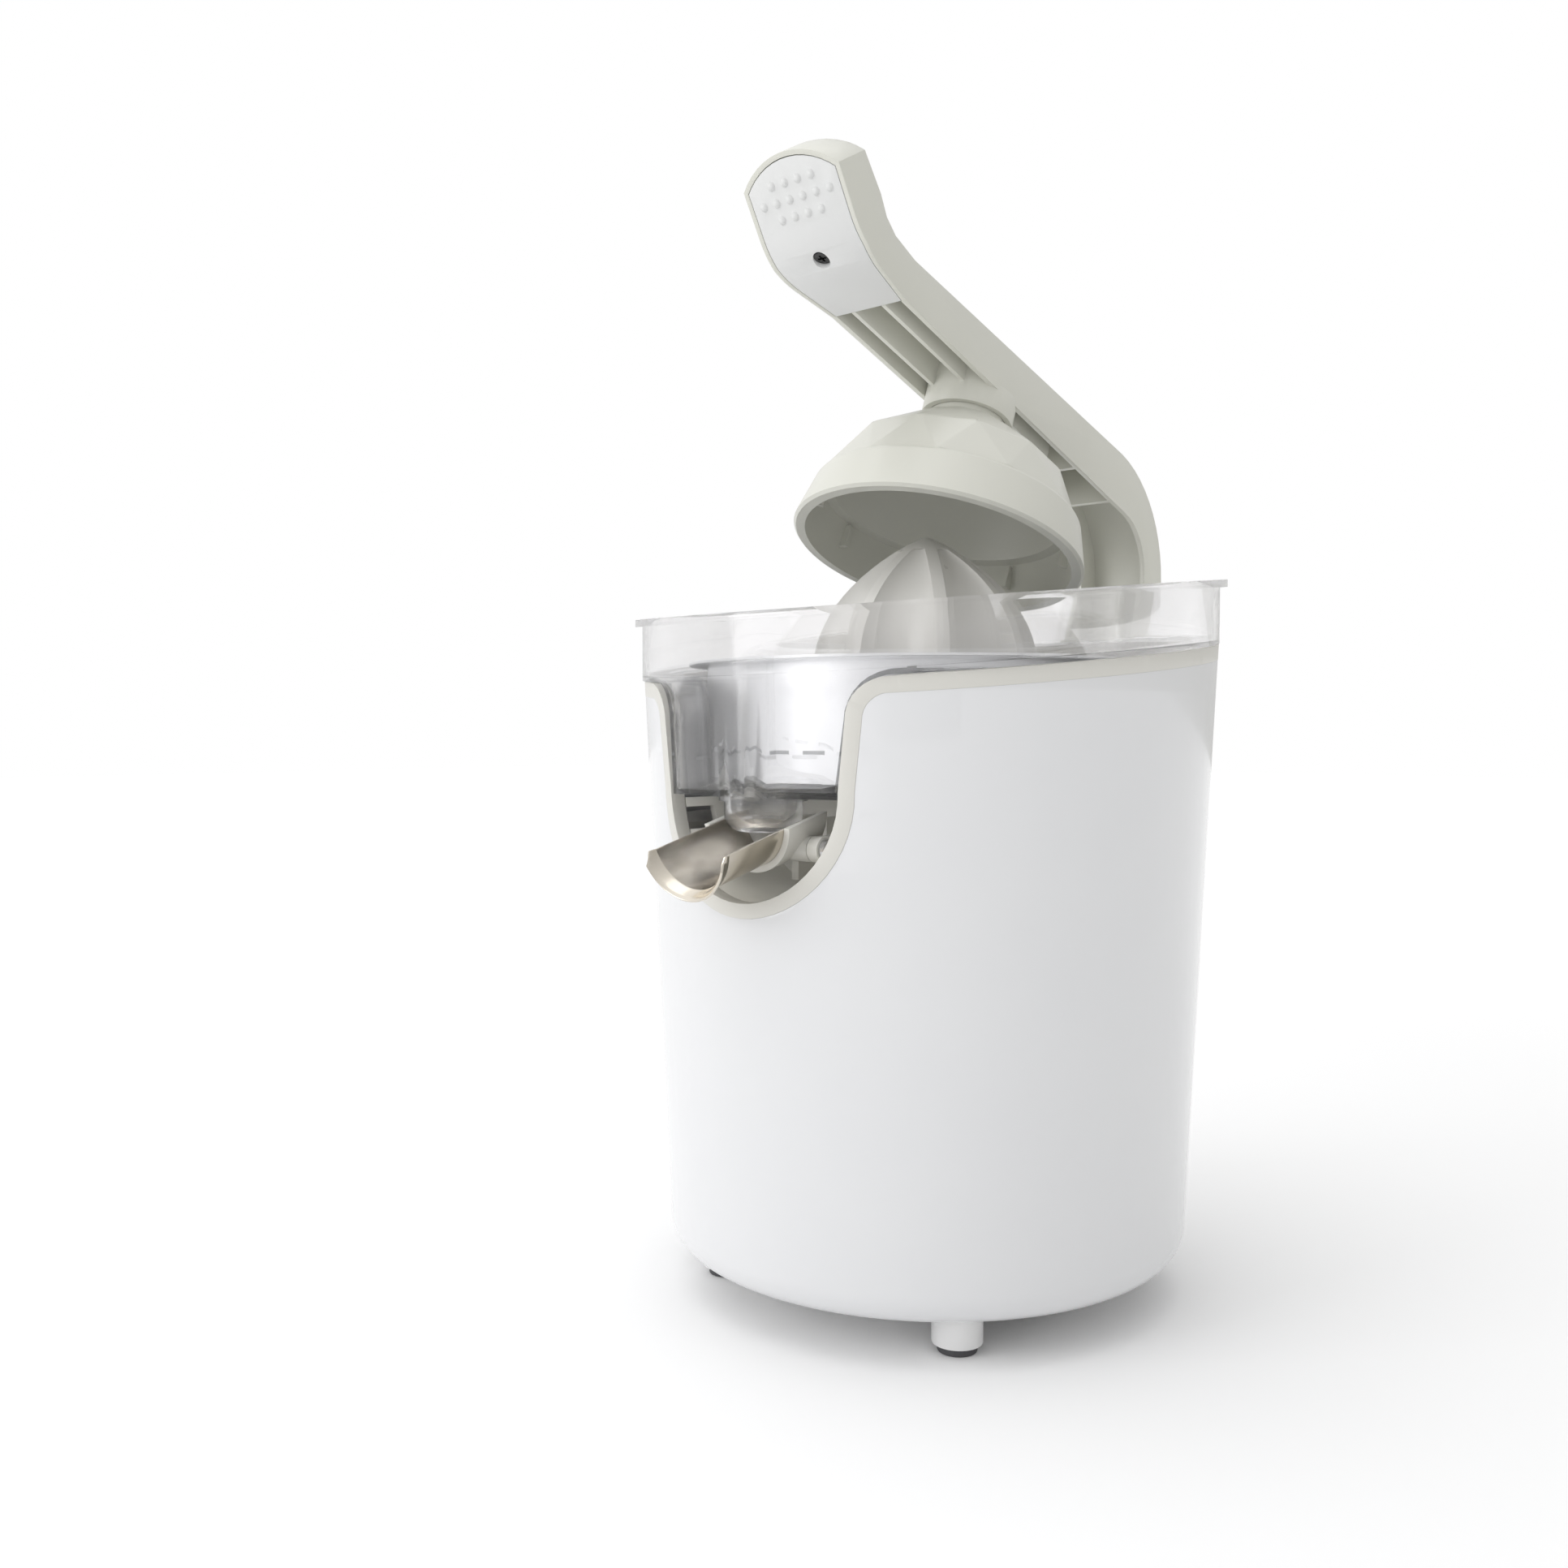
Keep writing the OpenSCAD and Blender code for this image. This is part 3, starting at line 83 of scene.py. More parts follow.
def buildStudio():
    scene = bpy.context.scene
    scene.view_settings.view_transform = "Standard"
    bpy.ops.object.camera_add(location=studio["cameraPlace"],
                              rotation=[math.radians(a) for a in studio["cameraTurn"]])
    camera = bpy.context.object
    camera.name = "camera"
    camera.data.lens = studio["lens"]
    camera.data.sensor_width = studio["sensor"]
    camera.data.clip_start = studio["nearest"]
    scene.camera = camera

    for lamp in studio["lamps"]:
        bpy.ops.object.light_add(type="AREA", location=lamp["place"])
        light = bpy.context.object
        light.name = lamp["name"]
        light.data.size = lamp["size"]
        light.data.energy = lamp["power"]
        aim = Vector((0, axisY, studio["lampAim"])) - Vector(lamp["place"])
        light.rotation_euler = aim.to_track_quat("-Z", "Y").to_euler()

    sky = bpy.data.worlds.new("studioSky")
    scene.world = sky
    sky.use_nodes = True
    tree = sky.node_tree
    tree.nodes.clear()
    out = tree.nodes.new("ShaderNodeOutputWorld")
    light = tree.nodes.new("ShaderNodeBackground")
    plain = tree.nodes.new("ShaderNodeBackground")
    plain.inputs["Color"].default_value = (1, 1, 1, 1)
    plain.inputs["Strength"].default_value = 1.0
    pick = tree.nodes.new("ShaderNodeMixShader")
    path = tree.nodes.new("ShaderNodeLightPath")
    place = tree.nodes.new("ShaderNodeTexCoord")
    spread = tree.nodes.new("ShaderNodeVectorMath")
    spread.operation = "DOT_PRODUCT"
    spread.inputs[1].default_value = studio["skyShadeSide"]
    level = tree.nodes.new("ShaderNodeMapRange")
    for side, value in zip(("From Min", "From Max"), studio["skySpan"]):
        level.inputs[side].default_value = value
    ramp = tree.nodes.new("ShaderNodeValToRGB")
    while len(ramp.color_ramp.elements) < len(studio["sky"]):
        ramp.color_ramp.elements.new(0.5)
    for element, (position, colour) in zip(ramp.color_ramp.elements, studio["sky"]):
        element.position = position
        element.color = (*colour, 1)
    link = tree.links.new
    link(place.outputs["Generated"], spread.inputs[0])
    link(spread.outputs["Value"], level.inputs["Value"])
    link(level.outputs[0], ramp.inputs["Fac"])
    link(ramp.outputs["Color"], light.inputs["Color"])
    # the camera, and whatever is seen through the clear bowl, meets a plain white
    seen = tree.nodes.new("ShaderNodeMath")
    seen.operation = "MAXIMUM"
    link(path.outputs["Is Camera Ray"], seen.inputs[0])
    link(path.outputs["Is Transmission Ray"], seen.inputs[1])
    link(seen.outputs[0], pick.inputs[0])
    link(light.outputs[0], pick.inputs[1])
    link(plain.outputs[0], pick.inputs[2])
    link(pick.outputs[0], out.inputs[0])


buildStudio()
print("camera and lights made")

# finishes


class Signal:
    # one shader value that can be used in plain arithmetic
    def __init__(self, finish, socket):
        self.finish = finish
        self.socket = socket

    def join(self, operation, first, second):
        node = self.finish.add("ShaderNodeMath", {"operation": operation}, {0: first, 1: second})
        return Signal(self.finish, node.outputs[0])

    def __add__(self, other):
        return self.join("ADD", self, other)

    def __radd__(self, other):
        return self.join("ADD", other, self)

    def __sub__(self, other):
        return self.join("SUBTRACT", self, other)

    def __rsub__(self, other):
        return self.join("SUBTRACT", other, self)

    def __mul__(self, other):
        return self.join("MULTIPLY", self, other)

    def __rmul__(self, other):
        return self.join("MULTIPLY", other, self)


class Finish:
    # a material whose nodes are added one line at a time
    def __init__(self, name):
        self.material = bpy.data.materials.new(name)
        self.material.use_nodes = True
        self.tree = self.material.node_tree
        self.tree.nodes.clear()
        self.place = self.add("ShaderNodeTexCoord").outputs["Object"]

    def add(self, kind, settings={}, values={}):
        node = self.tree.nodes.new(kind)
        for key, value in settings.items():
            if key == "stops":
                ramp = node.color_ramp
                while len(ramp.elements) < len(value):
                    ramp.elements.new(0.5)
                for element, (position, colour) in zip(ramp.elements, value):
                    element.position = position
                    element.color = (*colour, 1)
            else:
                setattr(node, key, value)
        for key, value in values.items():
            socket = node.inputs[key]
            if isinstance(value, Signal):
                value = value.socket
            if isinstance(value, bpy.types.NodeSocket):
                self.tree.links.new(value, socket)
            elif isinstance(value, tuple) and len(value) == 3 and socket.type == "RGBA":
                socket.default_value = (*value, 1)
            else:
                socket.default_value = value
        return node

    def noise(self, scale, detail=3.0, stretch=(1.0, 1.0, 1.0), centre=(0.0, 0.0, 0.0)):
        turned = self.add("ShaderNodeMapping", {}, {"Vector": self.place, "Location": centre,
                                                    "Scale": stretch})
        node = self.add("ShaderNodeTexNoise", {}, {"Vector": turned.outputs[0], "Scale": scale,
                                                   "Detail": detail})
        return Signal(self, node.outputs["Fac"])

    def tint(self, mask, first, second):
        node = self.add("ShaderNodeMix", {"data_type": "RGBA"}, {0: mask, 6: first, 7: second})
        return node.outputs[2]

    def bump(self, height, distance, strength=1.0):
        node = self.add("ShaderNodeBump", {}, {"Height": height, "Distance": distance,
                                               "Strength": strength})
        return node.outputs[0]

    def shade(self, **values):
        names = {key: key.replace("_", " ") for key in values}
        body = self.add("ShaderNodeBsdfPrincipled", {},
                        {names[key]: value for key, value in values.items()})
        out = self.add("ShaderNodeOutputMaterial")
        self.tree.links.new(body.outputs[0], out.inputs[0])
        return self.material


def mouldedPlastic(name, colour, shade, rough, grain=0.00002, coat=0.0, grainScale=2600.0):
    # plastic with a faint cloud in its colour, fine grain and handling marks in its gloss
    finish = Finish(name)
    cloud = finish.noise(26.0, 4.0)
    grains = finish.noise(grainScale, 2.0)
    rubs = finish.noise(140.0, 5.0, (1.0, 1.0, 0.25))
    return finish.shade(
        Base_Color=finish.tint(cloud * 0.9 + grains * 0.1, colour, shade),
        Roughness=rough + rubs * 0.10 + cloud * 0.05 - 0.06,
        Coat_Weight=coat, Coat_Roughness=0.06,
        Normal=finish.bump(grains + rubs * 0.4, grain))


def drawnSteel(name, colour, shade, rough, around, lift=0.000012):
    # steel with fine draw lines round the drum (around) or along the channel
    finish = Finish(name)
    if around:
        lines = finish.noise(90.0, 6.0, (0.35, 0.35, 60.0))
    else:
        lines = finish.noise(90.0, 6.0, (40.0, 0.5, 6.0))
    cloud = finish.noise(38.0, 3.0)
    marks = finish.noise(420.0, 6.0)
    return finish.shade(
        Base_Color=finish.tint(cloud * 0.7 + lines * 0.3, colour, shade),
        Metallic=1.0,
        Roughness=rough + lines * 0.14 + marks * 0.05 - 0.08,
        Normal=finish.bump(lines + marks * 0.2, lift))


def clearMoulding(name):
    finish = Finish(name)
    flow = finish.noise(30.0, 3.0)
    marks = finish.noise(700.0, 4.0)
    return finish.shade(
        Base_Color=finish.tint(flow, (0.985, 0.975, 0.985), (0.997, 0.995, 0.995)),
        Roughness=0.01 + marks * 0.03,
        Transmission_Weight=1.0, IOR=1.44, Alpha=0.75,
        Normal=finish.bump(flow, 0.0003, 0.5))


def turnedMetal(name, colour, rough):
    finish = Finish(name)
    marks = finish.noise(900.0, 4.0, (1.0, 1.0, 4.0))
    cloud = finish.noise(120.0, 3.0)
    darker = tuple(part * 0.8 for part in colour)
    return finish.shade(
        Base_Color=finish.tint(cloud, colour, darker), Metallic=1.0,
        Roughness=rough + marks * 0.2 - 0.1, Normal=finish.bump(marks, 0.00001))


def softRubber(name, colour):
    finish = Finish(name)
    grain = finish.noise(1800.0, 5.0)
    dust = finish.noise(60.0, 5.0)
    lighter = tuple(part + 0.05 for part in colour)
    return finish.shade(Base_Color=finish.tint(dust, colour, lighter),
                        Roughness=0.62 + dust * 0.2, Normal=finish.bump(grain, 0.00004))


finishes = {
    "white_gloss": mouldedPlastic("glossWhite", (0.735, 0.74, 0.75), (0.705, 0.71, 0.725), 0.16,
                                  0.000006, 0.5),
    "white_satin": mouldedPlastic("satinWhite", (0.84, 0.84, 0.84), (0.80, 0.80, 0.80), 0.34),
    "warm_grey": mouldedPlastic("warmGrey", (0.66, 0.65, 0.61), (0.62, 0.61, 0.57), 0.33),
    "arm_grey": mouldedPlastic("armGrey", (0.67, 0.67, 0.61), (0.63, 0.63, 0.57), 0.30,
                               0.000014, 0.1),
    "grip_white": mouldedPlastic("gripWhite", (0.72, 0.725, 0.72), (0.69, 0.695, 0.69), 0.42,
                                 0.00003, 0.0, 3200.0),
    "reamer_grey": mouldedPlastic("reamerGrey", (0.68, 0.67, 0.64), (0.64, 0.63, 0.60), 0.28,
                                  0.00001, 0.1),
    "strainer_steel": drawnSteel("drumSteel", (0.80, 0.805, 0.815), (0.72, 0.73, 0.745), 0.34,
                                 True, 0.000005),
    "spout_steel": drawnSteel("channelSteel", (0.74, 0.69, 0.61), (0.62, 0.57, 0.49), 0.20, False),
    "steel": turnedMetal("brightSteel", (0.70, 0.70, 0.71), 0.24),
    "core_steel": turnedMetal("coreSteel", (0.30, 0.31, 0.33), 0.42),
    "bracket_alloy": turnedMetal("castAlloy", (0.58, 0.59, 0.60), 0.46),
    "brass": turnedMetal("turnedBrass", (0.66, 0.49, 0.22), 0.30),
    "copper": turnedMetal("windingCopper", (0.62, 0.30, 0.14), 0.34),
    "rubber": softRubber("blackRubber", (0.05, 0.05, 0.055)),
    "clear_plastic": clearMoulding("clearBowl"),
    "gearbox_grey": mouldedPlastic("boxGrey", (0.30, 0.31, 0.33), (0.26, 0.27, 0.29), 0.45),
    "gear_cream": mouldedPlastic("gearCream", (0.74, 0.71, 0.63), (0.70, 0.67, 0.59), 0.36),
    "black_plastic": mouldedPlastic("switchBlack", (0.04, 0.04, 0.045), (0.06, 0.06, 0.065), 0.4),
    "red_plastic": mouldedPlastic("switchRed", (0.45, 0.05, 0.03), (0.40, 0.04, 0.03), 0.4),
}
slotOf = {part["node"]: part["material_slot"] for part in frame["record"]["subparts"]}


def paint(piece, slotName):
    piece.data.materials.clear()
    piece.data.materials.append(finishes[slotName])
    for face in piece.data.polygons:
        face.material_index = 0


for nodeName, node in frame["nodes"].items():
    for index in range(len(node.material_slots)):
        node.material_slots[index].material = finishes[slotOf[nodeName]]
# two nodes look different from the rest of their slot
ownFinish = {
    "grip_screw": turnedMetal("darkScrew", (0.10, 0.10, 0.10), 0.5),
    "spout_bay": mouldedPlastic("bayGrey", (0.80, 0.79, 0.74), (0.77, 0.76, 0.71), 0.33),
}
for nodeName, material in ownFinish.items():
    for slot in frame["nodes"][nodeName].material_slots:
        slot.material = material
print("finishes made and put on", len(frame["nodes"]), "nodes")

# helpers for making pieces

bodyOf = {name: body for body, names in frame["record"]["behaviour"]["bodies"].items()
          for name in names}


def clearSelection():
    if bpy.context.mode != "OBJECT":
        bpy.ops.object.mode_set(mode="OBJECT")
    bpy.ops.object.select_all(action="DESELECT")


def focus(piece):
    clearSelection()
    bpy.context.view_layer.objects.active = piece
    piece.select_set(True)


def addModifier(piece, kind, **settings):
    focus(piece)
    modifier = piece.modifiers.new(kind.lower(), kind)
    for key, value in settings.items():
        setattr(modifier, key, value)
    bpy.ops.object.modifier_apply(modifier=modifier.name)


def settle(piece, angle=35.0):
    # place and turn go into the mesh, then flat faces stay crisp
    focus(piece)
    bpy.ops.object.transform_apply(location=True, rotation=True, scale=True)
    bpy.ops.object.shade_smooth_by_angle(angle=math.radians(angle))


def finishPiece(piece, name, nodes, slotName, body, angle=35.0):
    settle(piece, angle)
    piece.name = name
    piece.data.name = name
    paint(piece, slotName)
    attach(piece, body)
    if nodes:
        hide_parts(*nodes)
    return piece


def mergedCopy(nodeName):
    # a copy of a frame node as one welded mesh
    clearSelection()
    source = frame["nodes"][nodeName]
    copy = bpy.data.objects.new(nodeName + "Shaped", source.data.copy())
    bpy.context.scene.collection.objects.link(copy)
    focus(copy)
    bpy.ops.object.mode_set(mode="EDIT")
    bpy.ops.mesh.select_all(action="SELECT")
    bpy.ops.mesh.remove_doubles(threshold=0.000004)
    bpy.ops.mesh.dissolve_limited(angle_limit=math.radians(0.6))
    bpy.ops.object.mode_set(mode="OBJECT")
    if copy.data.has_custom_normals:
        bpy.ops.mesh.customdata_custom_splitnormals_clear()
    return copy


def softCopy(nodeName, width, sharpest=28.0):
    # a frame node with its hard edges rounded as the mould leaves them
    copy = mergedCopy(nodeName)
    addModifier(copy, "BEVEL", width=width, segments=2, limit_method="ANGLE",
                angle_limit=math.radians(sharpest), use_clamp_overlap=True,
                miter_outer="MITER_ARC")
    addModifier(copy, "TRIANGULATE", min_vertices=5)
    piece = finishPiece(copy, nodeName + "Shaped", [nodeName], slotOf[nodeName],
                        bodyOf[nodeName])
    if nodeName in ownFinish:
        piece.material_slots[0].material = ownFinish[nodeName]
    return piece


def stackRings(count, rings):
    # a closed solid drawn up ring by ring: centre, radius, height in mm, and turn in degrees
    clearSelection()
    centre, radius, height, turn = rings[0]
    bpy.ops.mesh.primitive_circle_add(vertices=count, radius=radius * mm, fill_type="NGON",
                                      location=(0, 0, 0))
    piece = bpy.context.object
    bpy.ops.object.mode_set(mode="EDIT")
    bpy.ops.mesh.select_all(action="SELECT")
    bpy.ops.transform.translate(value=(centre * mm, 0, height * mm))
    for nextCentre, nextRadius, nextHeight, nextTurn in rings[1:]:
        middle = (nextCentre * mm, 0, nextHeight * mm)
        step = ((nextCentre - centre) * mm, 0, (nextHeight - height) * mm)
        bpy.ops.mesh.extrude_region_move(TRANSFORM_OT_translate={"value": step})
        grow = nextRadius / radius
        bpy.ops.transform.resize(value=(grow, grow, 1), center_override=middle)
        if nextTurn:
            bpy.ops.transform.rotate(value=math.radians(nextTurn), orient_axis="Z",
                                     center_override=middle)
        centre, radius, height = nextCentre, nextRadius, nextHeight
    bpy.ops.mesh.select_all(action="SELECT")
    bpy.ops.mesh.normals_make_consistent(inside=False)
    bpy.ops.object.mode_set(mode="OBJECT")
    return piece


def combine(piece, other, operation):
    focus(piece)
    modifier = piece.modifiers.new("combine", "BOOLEAN")
    modifier.operation = operation
    modifier.solver = "EXACT"
    modifier.object = other
    bpy.ops.object.modifier_apply(modifier="combine")
    bpy.data.objects.remove(other, do_unlink=True)


def addBox(low, high, turn=0.0):
    # a box between two corners in mm, turned about the upright axis in degrees
    clearSelection()
    middle = [(a + b) / 2 * mm for a, b in zip(low, high)]
    bpy.ops.mesh.primitive_cube_add(size=1, location=middle)
    piece = bpy.context.object
    piece.scale = [(b - a) * mm for a, b in zip(low, high)]
    bpy.ops.object.transform_apply(location=True, rotation=True, scale=True)
    piece.rotation_euler.z = math.radians(turn)
    bpy.ops.object.transform_apply(location=False, rotation=True, scale=False)
    return piece


def arcRings(centreHeight, radius, first, last, steps):
    # rings of a ball between two angles from level
    rings = []
    for step in range(steps + 1):
        angle = math.radians(first + (last - first) * step / steps)
        rings.append((0, max(radius * math.cos(angle), 0.2),
                      centreHeight + radius * math.sin(angle), 0))
    return rings


# pressing dome, sizes in mm from the middle of its rim: centre, radius, height, turn

dome = {
    "drop": 4.1,
    "band": [(0, 51.0, 0.0, 0), (0, 52.0, 1.0, 0), (0, 51.7, 2.4, 0), (0, 48.1, 15.9, 0),
             (0, 47.5, 16.8, 0), (0, 45.6, 16.95, 0)],
    "facetCount": 12,
    "facets": [(0, 46.4, 15.0, 0), (0, 47.2, 17.1, 0), (0, 38.6, 33.8, 15), (0, 18.2, 48.5, 15)],
    "neck": (14.2, 42.0, 67.6),
    "hollowWall": [(0, 47.9, -1.0, 0), (0, 44.8, 16.6, 0)],
    "hollowBall": (0.28, 44.6),
    "ballStart": 17.2,
    "ribs": 8, "ribFrom": (42.8, 7.0), "ribTo": (47.4, 15.5), "ribThickness": 1.6,
    "screwWell": 4.6, "screwDepth": 53.0, "screwHole": 1.7,
    "capEdge": 0.5, "edge": 0.35,
}


def makeDome():
    piece = stackRings(160, dome["band"])
    cap = stackRings(dome["facetCount"], dome["facets"])
    focus(cap)
    bpy.ops.object.mode_set(mode="EDIT")
    bpy.ops.mesh.select_all(action="SELECT")
    bpy.ops.mesh.quads_convert_to_tris(quad_method="SHORTEST_DIAGONAL", ngon_method="BEAUTY")
    bpy.ops.object.mode_set(mode="OBJECT")
    addModifier(cap, "BEVEL", width=dome["capEdge"] * mm, segments=1, limit_method="ANGLE",
                angle_limit=math.radians(6))
    combine(piece, cap, "UNION")
    radius, low, high = dome["neck"]
    combine(piece, stackRings(96, [(0, radius, low, 0), (0, radius, high, 0)]), "UNION")
    ballHeight, ballRadius = dome["hollowBall"]
    start = math.degrees(math.asin((dome["ballStart"] - ballHeight) / ballRadius))
    inside = dome["hollowWall"] + arcRings(ballHeight, ballRadius, start, 89.5, 14)
    combine(piece, stackRings(128, inside), "DIFFERENCE")
    half = dome["ribThickness"] / 2
    for rib in range(dome["ribs"]):
        combine(piece, addBox((dome["ribFrom"][0], -half, dome["ribFrom"][1]),
                              (dome["ribTo"][0], half, dome["ribTo"][1]),
                              360 / dome["ribs"] * rib), "UNION")
    combine(piece, stackRings(48, [(0, dome["screwWell"], 20, 0),
                                   (0, dome["screwWell"], dome["screwDepth"], 0)]), "DIFFERENCE")
    combine(piece, stackRings(32, [(0, dome["screwHole"], 40, 0), (0, dome["screwHole"], 70, 0)]),
            "DIFFERENCE")
    addModifier(piece, "BEVEL", width=dome["edge"] * mm, segments=2, limit_method="ANGLE",
                angle_limit=math.radians(40), use_clamp_overlap=True)
    # set in place with the lever level, then lifted about the hinge with it
    pressed = Matrix.Translation((0, axisY, hingePoint.z - dome["drop"] * mm))
    lift = (Matrix.Translation(hingePoint) @ Matrix.Rotation(-leverAngle, 4, "X")
            @ Matrix.Translation(-hingePoint))
    piece.matrix_world = lift @ pressed
    return finishPiece(piece, "pressDome", ["press_dome"], "arm_grey", "lever", 8.0)


makeDome()
print("dome made")

# reamer, sizes in mm up from its skirt

reamer = {
    "radius": 40.0, "height": 60.0, "skirt": 8.0, "steps": 15,
    "fins": 8, "finFlat": 4.2, "fluteDepth": 0.21,  # depth as a share of the radius
    "fluteSteps": 30, "fluteEnd": 28, "runOut": 2.2,
    "hollow": [(0, 38.6, -1.0, 0), (0, 18.0, 30.0, 0)],
    "hubRadius": 8.0, "hubFoot": 0.6, "hubTop": 34.0, "boreRadius": 4.05, "boreTop": 34.3,
    "edge": 0.55,
}


def reamerProfile(part):
    # radius and height of the cone's outline, from its skirt to its tip
    radius = reamer["radius"] * math.cos(math.pi / 2 * part ** 1.25) ** 0.8
    return max(radius, 0.3), reamer["skirt"] + (reamer["height"] - reamer["skirt"]) * part


def fluteRings():
    # the ball-like rings that cut one flute, from below the skirt up to where fins meet
    rings = []
    pitch = math.pi / reamer["fins"]
    for step in range(-3, reamer["fluteEnd"]):
        part = max(step, 0) / reamer["fluteSteps"]
        radius, height = reamerProfile(part)
        if step < 0:
            height += step * reamer["runOut"]
        if radius < reamer["finFlat"] * 1.75:
            break
        open_ = pitch - math.asin(reamer["finFlat"] / 2 / radius)
        depth = radius * reamer["fluteDepth"] * min(1.0, (open_ / pitch) * 1.3)
        across = radius * math.cos(open_) - radius + depth
        centre = (2 * radius * depth - depth ** 2) / (2 * max(across, 0.05))
        rings.append((centre, centre - radius + depth, height, 0))
    return rings


def makeReamer():
    steps = reamer["steps"]
    outline = [reamerProfile((step / steps) ** 0.8) for step in range(steps + 1)]
    piece = stackRings(192, [(0, reamer["radius"] + 1, 0, 0)]
                       + [(0, radius, height, 0) for radius, height in outline])
    for fin in range(reamer["fins"]):
        flute = stackRings(64, fluteRings())
        flute.rotation_euler.z = 2 * math.pi / reamer["fins"] * (fin + 0.5)
        focus(flute)
        bpy.ops.object.transform_apply(location=False, rotation=True, scale=False)
        combine(piece, flute, "DIFFERENCE")
    combine(piece, stackRings(96, reamer["hollow"]), "DIFFERENCE")
    combine(piece, stackRings(64, [(0, reamer["hubRadius"], reamer["hubFoot"], 0),
                                   (0, reamer["hubRadius"], reamer["hubTop"], 0)]), "UNION")
    combine(piece, stackRings(48, [(0, reamer["boreRadius"], -1, 0),
                                   (0, reamer["boreRadius"], reamer["boreTop"], 0)]), "DIFFERENCE")
    addModifier(piece, "BEVEL", width=reamer["edge"] * mm, segments=3, limit_method="ANGLE",
                angle_limit=math.radians(24), use_clamp_overlap=True)
    piece.matrix_world = Matrix.Translation((0, axisY, reamerLow.z))
    return finishPiece(piece, "reamerCone", ["reamer"], "reamer_grey", bodyOf["reamer"], 28.0)


makeReamer()
print("reamer made")

# steel spout, sizes in mm along and across the channel

spout = {
    "slope": 14.6, "radius": 15.6, "rise": 12.8, "length": 38.8, "back": 6.0,
    "sideTop": 9.4, "wall": 0.8, "edge": 0.25,
    "cornerCut": 2.3, "cornerFace": (-0.48, 0, 0.88),
    "heelCut": 6.0, "heelFace": (0.44, 0, -0.90),
    "bodySteps": 8,
    # distance along and width of the step and flare before the lip
    "throat": [(0.0, 1.0), (4.5, 1.0), (5.2, 1.03), (7.6, 1.055), (9.0, 1.12)],
}


def sliceOff(point, normal):
    # cuts the mesh being edited by a plane and drops what lies past it
    bpy.ops.mesh.select_all(action="SELECT")
    bpy.ops.mesh.bisect(plane_co=point, plane_no=normal, clear_outer=True, use_fill=False)


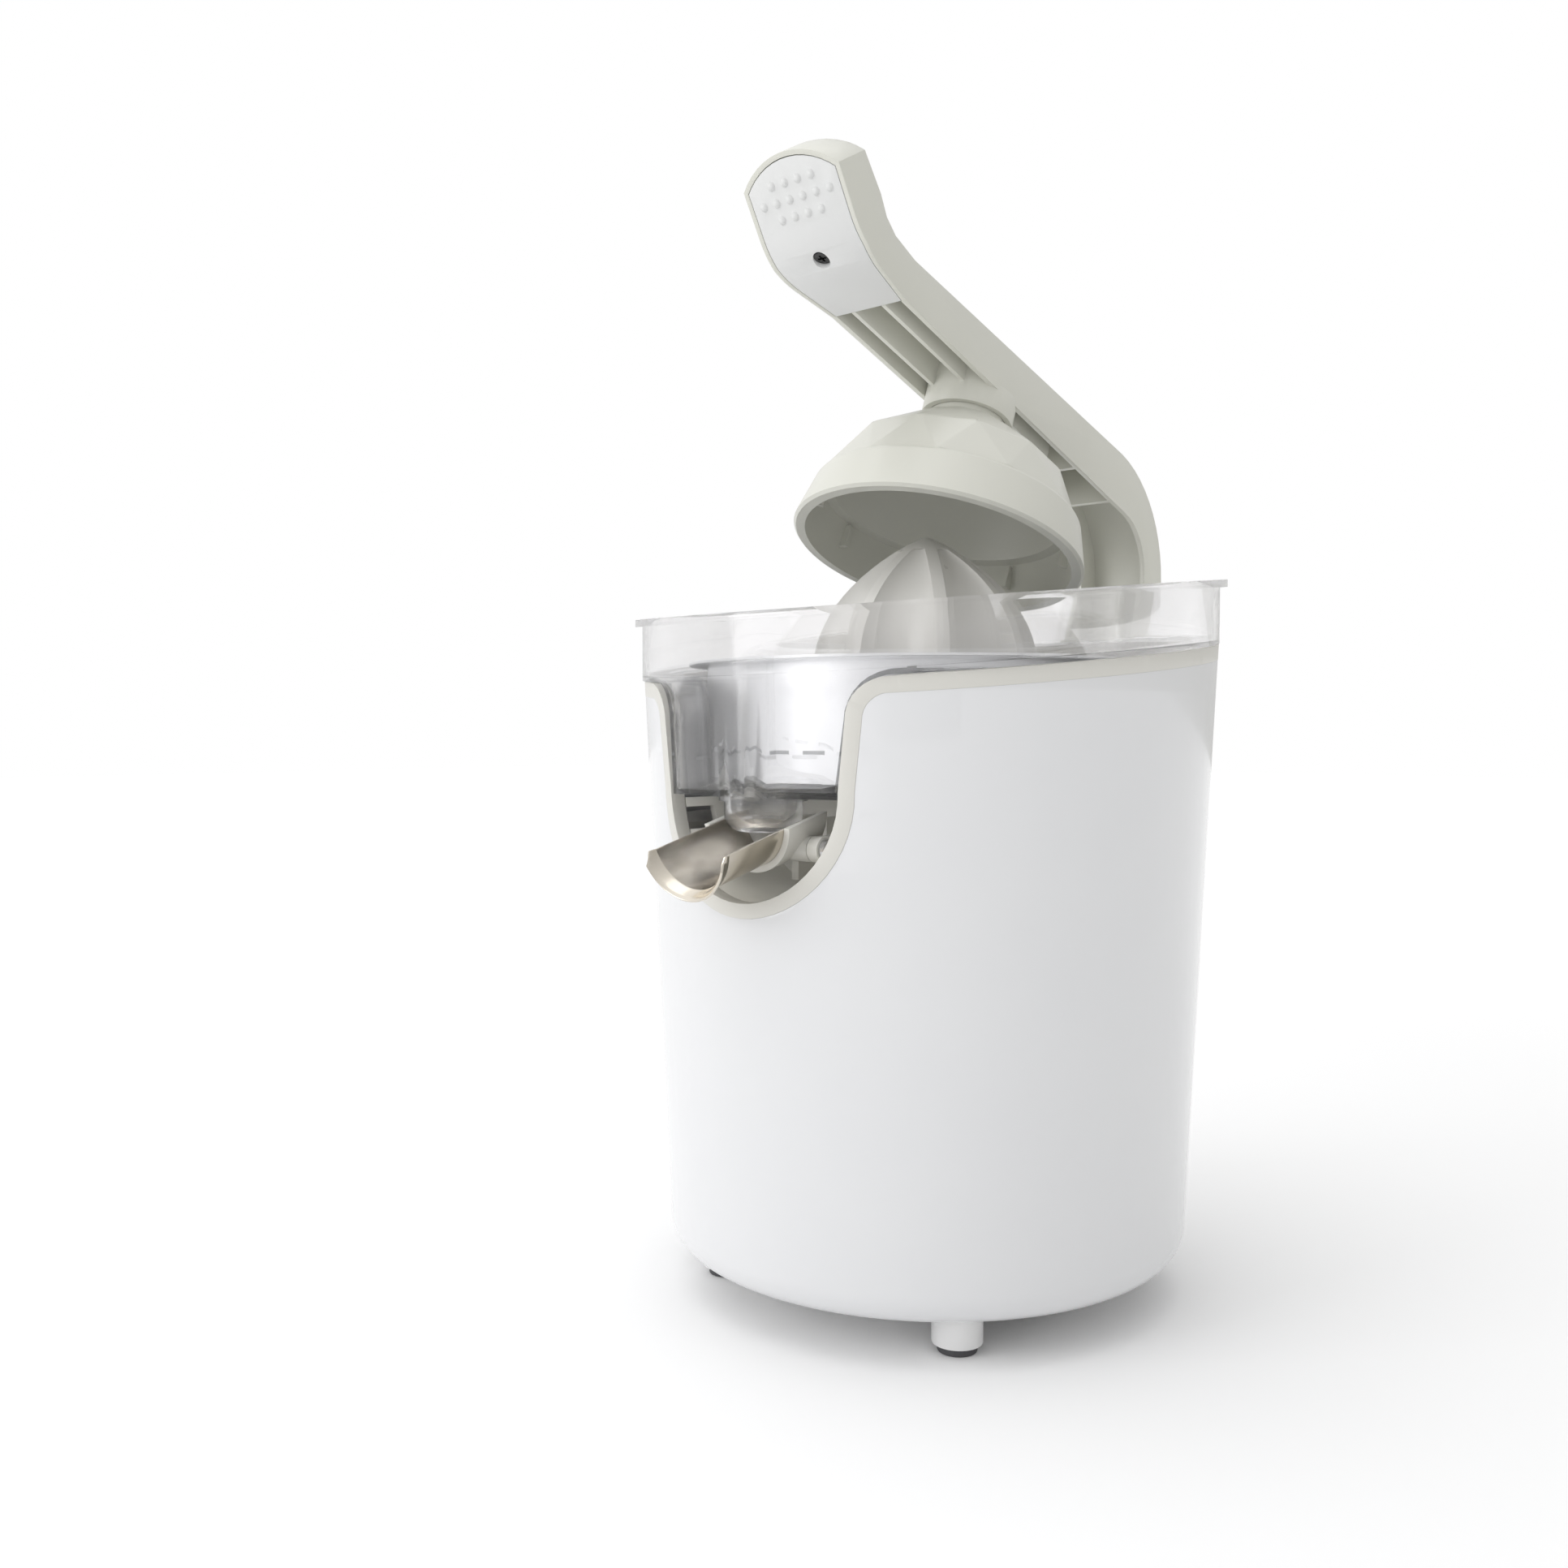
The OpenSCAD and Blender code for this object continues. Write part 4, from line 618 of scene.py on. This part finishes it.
def makeSpout():
    # drawn along +Z as a tube from its back to its lip, then laid down
    clearSelection()
    bpy.ops.mesh.primitive_circle_add(vertices=128, radius=spout["radius"] * mm,
                                      fill_type="NOTHING", location=(0, 0, 0))
    piece = bpy.context.object
    bpy.ops.object.mode_set(mode="EDIT")
    bpy.ops.mesh.select_all(action="SELECT")
    straight = spout["length"] + spout["back"] - spout["throat"][-1][0]
    parts = spout["bodySteps"]
    steps = [(straight * part / parts, 1.0) for part in range(1, parts + 1)]
    steps += [(straight + along, grow) for along, grow in spout["throat"][1:]]
    total, size = 0.0, 1.0
    for nextHeight, nextSize in steps:
        bpy.ops.mesh.extrude_region_move(
            TRANSFORM_OT_translate={"value": (0, 0, (nextHeight - total) * mm)})
        grow = nextSize / size
        bpy.ops.transform.resize(value=(grow, grow, 1),
                                 center_override=(0, 0, nextHeight * mm))
        total, size = nextHeight, nextSize
    # -X is up out of the channel here
    top = -(spout["sideTop"] - spout["rise"]) * mm
    sliceOff((top, 0, 0), (-1, 0, 0))
    sliceOff((top, 0, (total - spout["cornerCut"]) * mm), spout["cornerFace"])
    sliceOff((spout["radius"] * mm, 0, spout["heelCut"] * mm), spout["heelFace"])
    bpy.ops.object.mode_set(mode="OBJECT")
    addModifier(piece, "SOLIDIFY", thickness=spout["wall"] * mm, offset=0.0)
    addModifier(piece, "BEVEL", width=spout["edge"] * mm, segments=2, limit_method="ANGLE",
                angle_limit=math.radians(50), use_clamp_overlap=True)
    # the tube's +Z becomes the way the juice runs, and its -X becomes up
    slope = Matrix.Rotation(math.radians(spout["slope"]), 4, "X")
    lay = Matrix(((0, 1, 0, 0), (0, 0, -1, 0), (-1, 0, 0, 0), (0, 0, 0, 1)))
    start = Matrix.Translation((0, spout["back"] * mm, spout["rise"] * mm))
    piece.matrix_world = Matrix.Translation(spoutPoint) @ slope @ start @ lay
    settle(piece)
    focus(piece)
    bpy.ops.object.mode_set(mode="EDIT")
    bpy.ops.mesh.select_all(action="SELECT")
    bpy.ops.mesh.normals_make_consistent(inside=False)
    bpy.ops.object.mode_set(mode="OBJECT")
    return finishPiece(piece, "spoutChannel", ["spout_trough"], "spout_steel", "spout", 30.0)


makeSpout()
print("spout made")

# return spring, as a welded copy with a mesh of its own


def makeSpring():
    piece = finishPiece(mergedCopy("return_spring"), "returnSpring", ["return_spring"],
                        slotOf["return_spring"], bodyOf["return_spring"], 40.0)
    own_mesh(piece)


makeSpring()
print("spring made")

# width of the rounded edges on the moulded parts, in metres

softEdges = {
    "outer_shell": 0.0008, "trim_frame": 0.0005, "spout_bay": 0.0004, "lever_arm": 0.0006,
    "grip_plate": 0.0003, "hinge_tower": 0.0006, "base_plate": 0.0004, "foot_pads": 0.0006,
    "spout_holder": 0.0004, "hinge_caps": 0.0005, "cord_gland": 0.0004, "juice_bowl": 0.0005,
}
for nodeName, width in softEdges.items():
    softCopy(nodeName, width)
    print("rounded", nodeName)

# floor of pale paper that fades to plain white

bpy.ops.object.select_all(action="DESELECT")
bpy.ops.mesh.primitive_plane_add(size=studio["floorSize"], location=(0, 0, 0))
floor = bpy.context.object
floor.name = "floor"
paper = Finish("palePaper")
near, far = studio["floorFade"]
reach = paper.add("ShaderNodeVectorMath", {"operation": "LENGTH"}, {0: paper.place})
fade = paper.add("ShaderNodeMapRange", {"interpolation_type": "SMOOTHSTEP"},
                 {"Value": reach.outputs["Value"], "From Min": near, "From Max": far})
floor.data.materials.append(paper.shade(
    Base_Color=paper.tint(fade.outputs[0], paper.tint(paper.noise(3.0), (0.94, 0.94, 0.94),
                                                      (0.925, 0.925, 0.93)), (0.02, 0.02, 0.02)),
    Roughness=0.9, Specular_IOR_Level=0.1,
    Emission_Color=paper.tint(fade.outputs[0], (0.02, 0.02, 0.02), (1.0, 1.0, 1.0)),
    Emission_Strength=1.0))
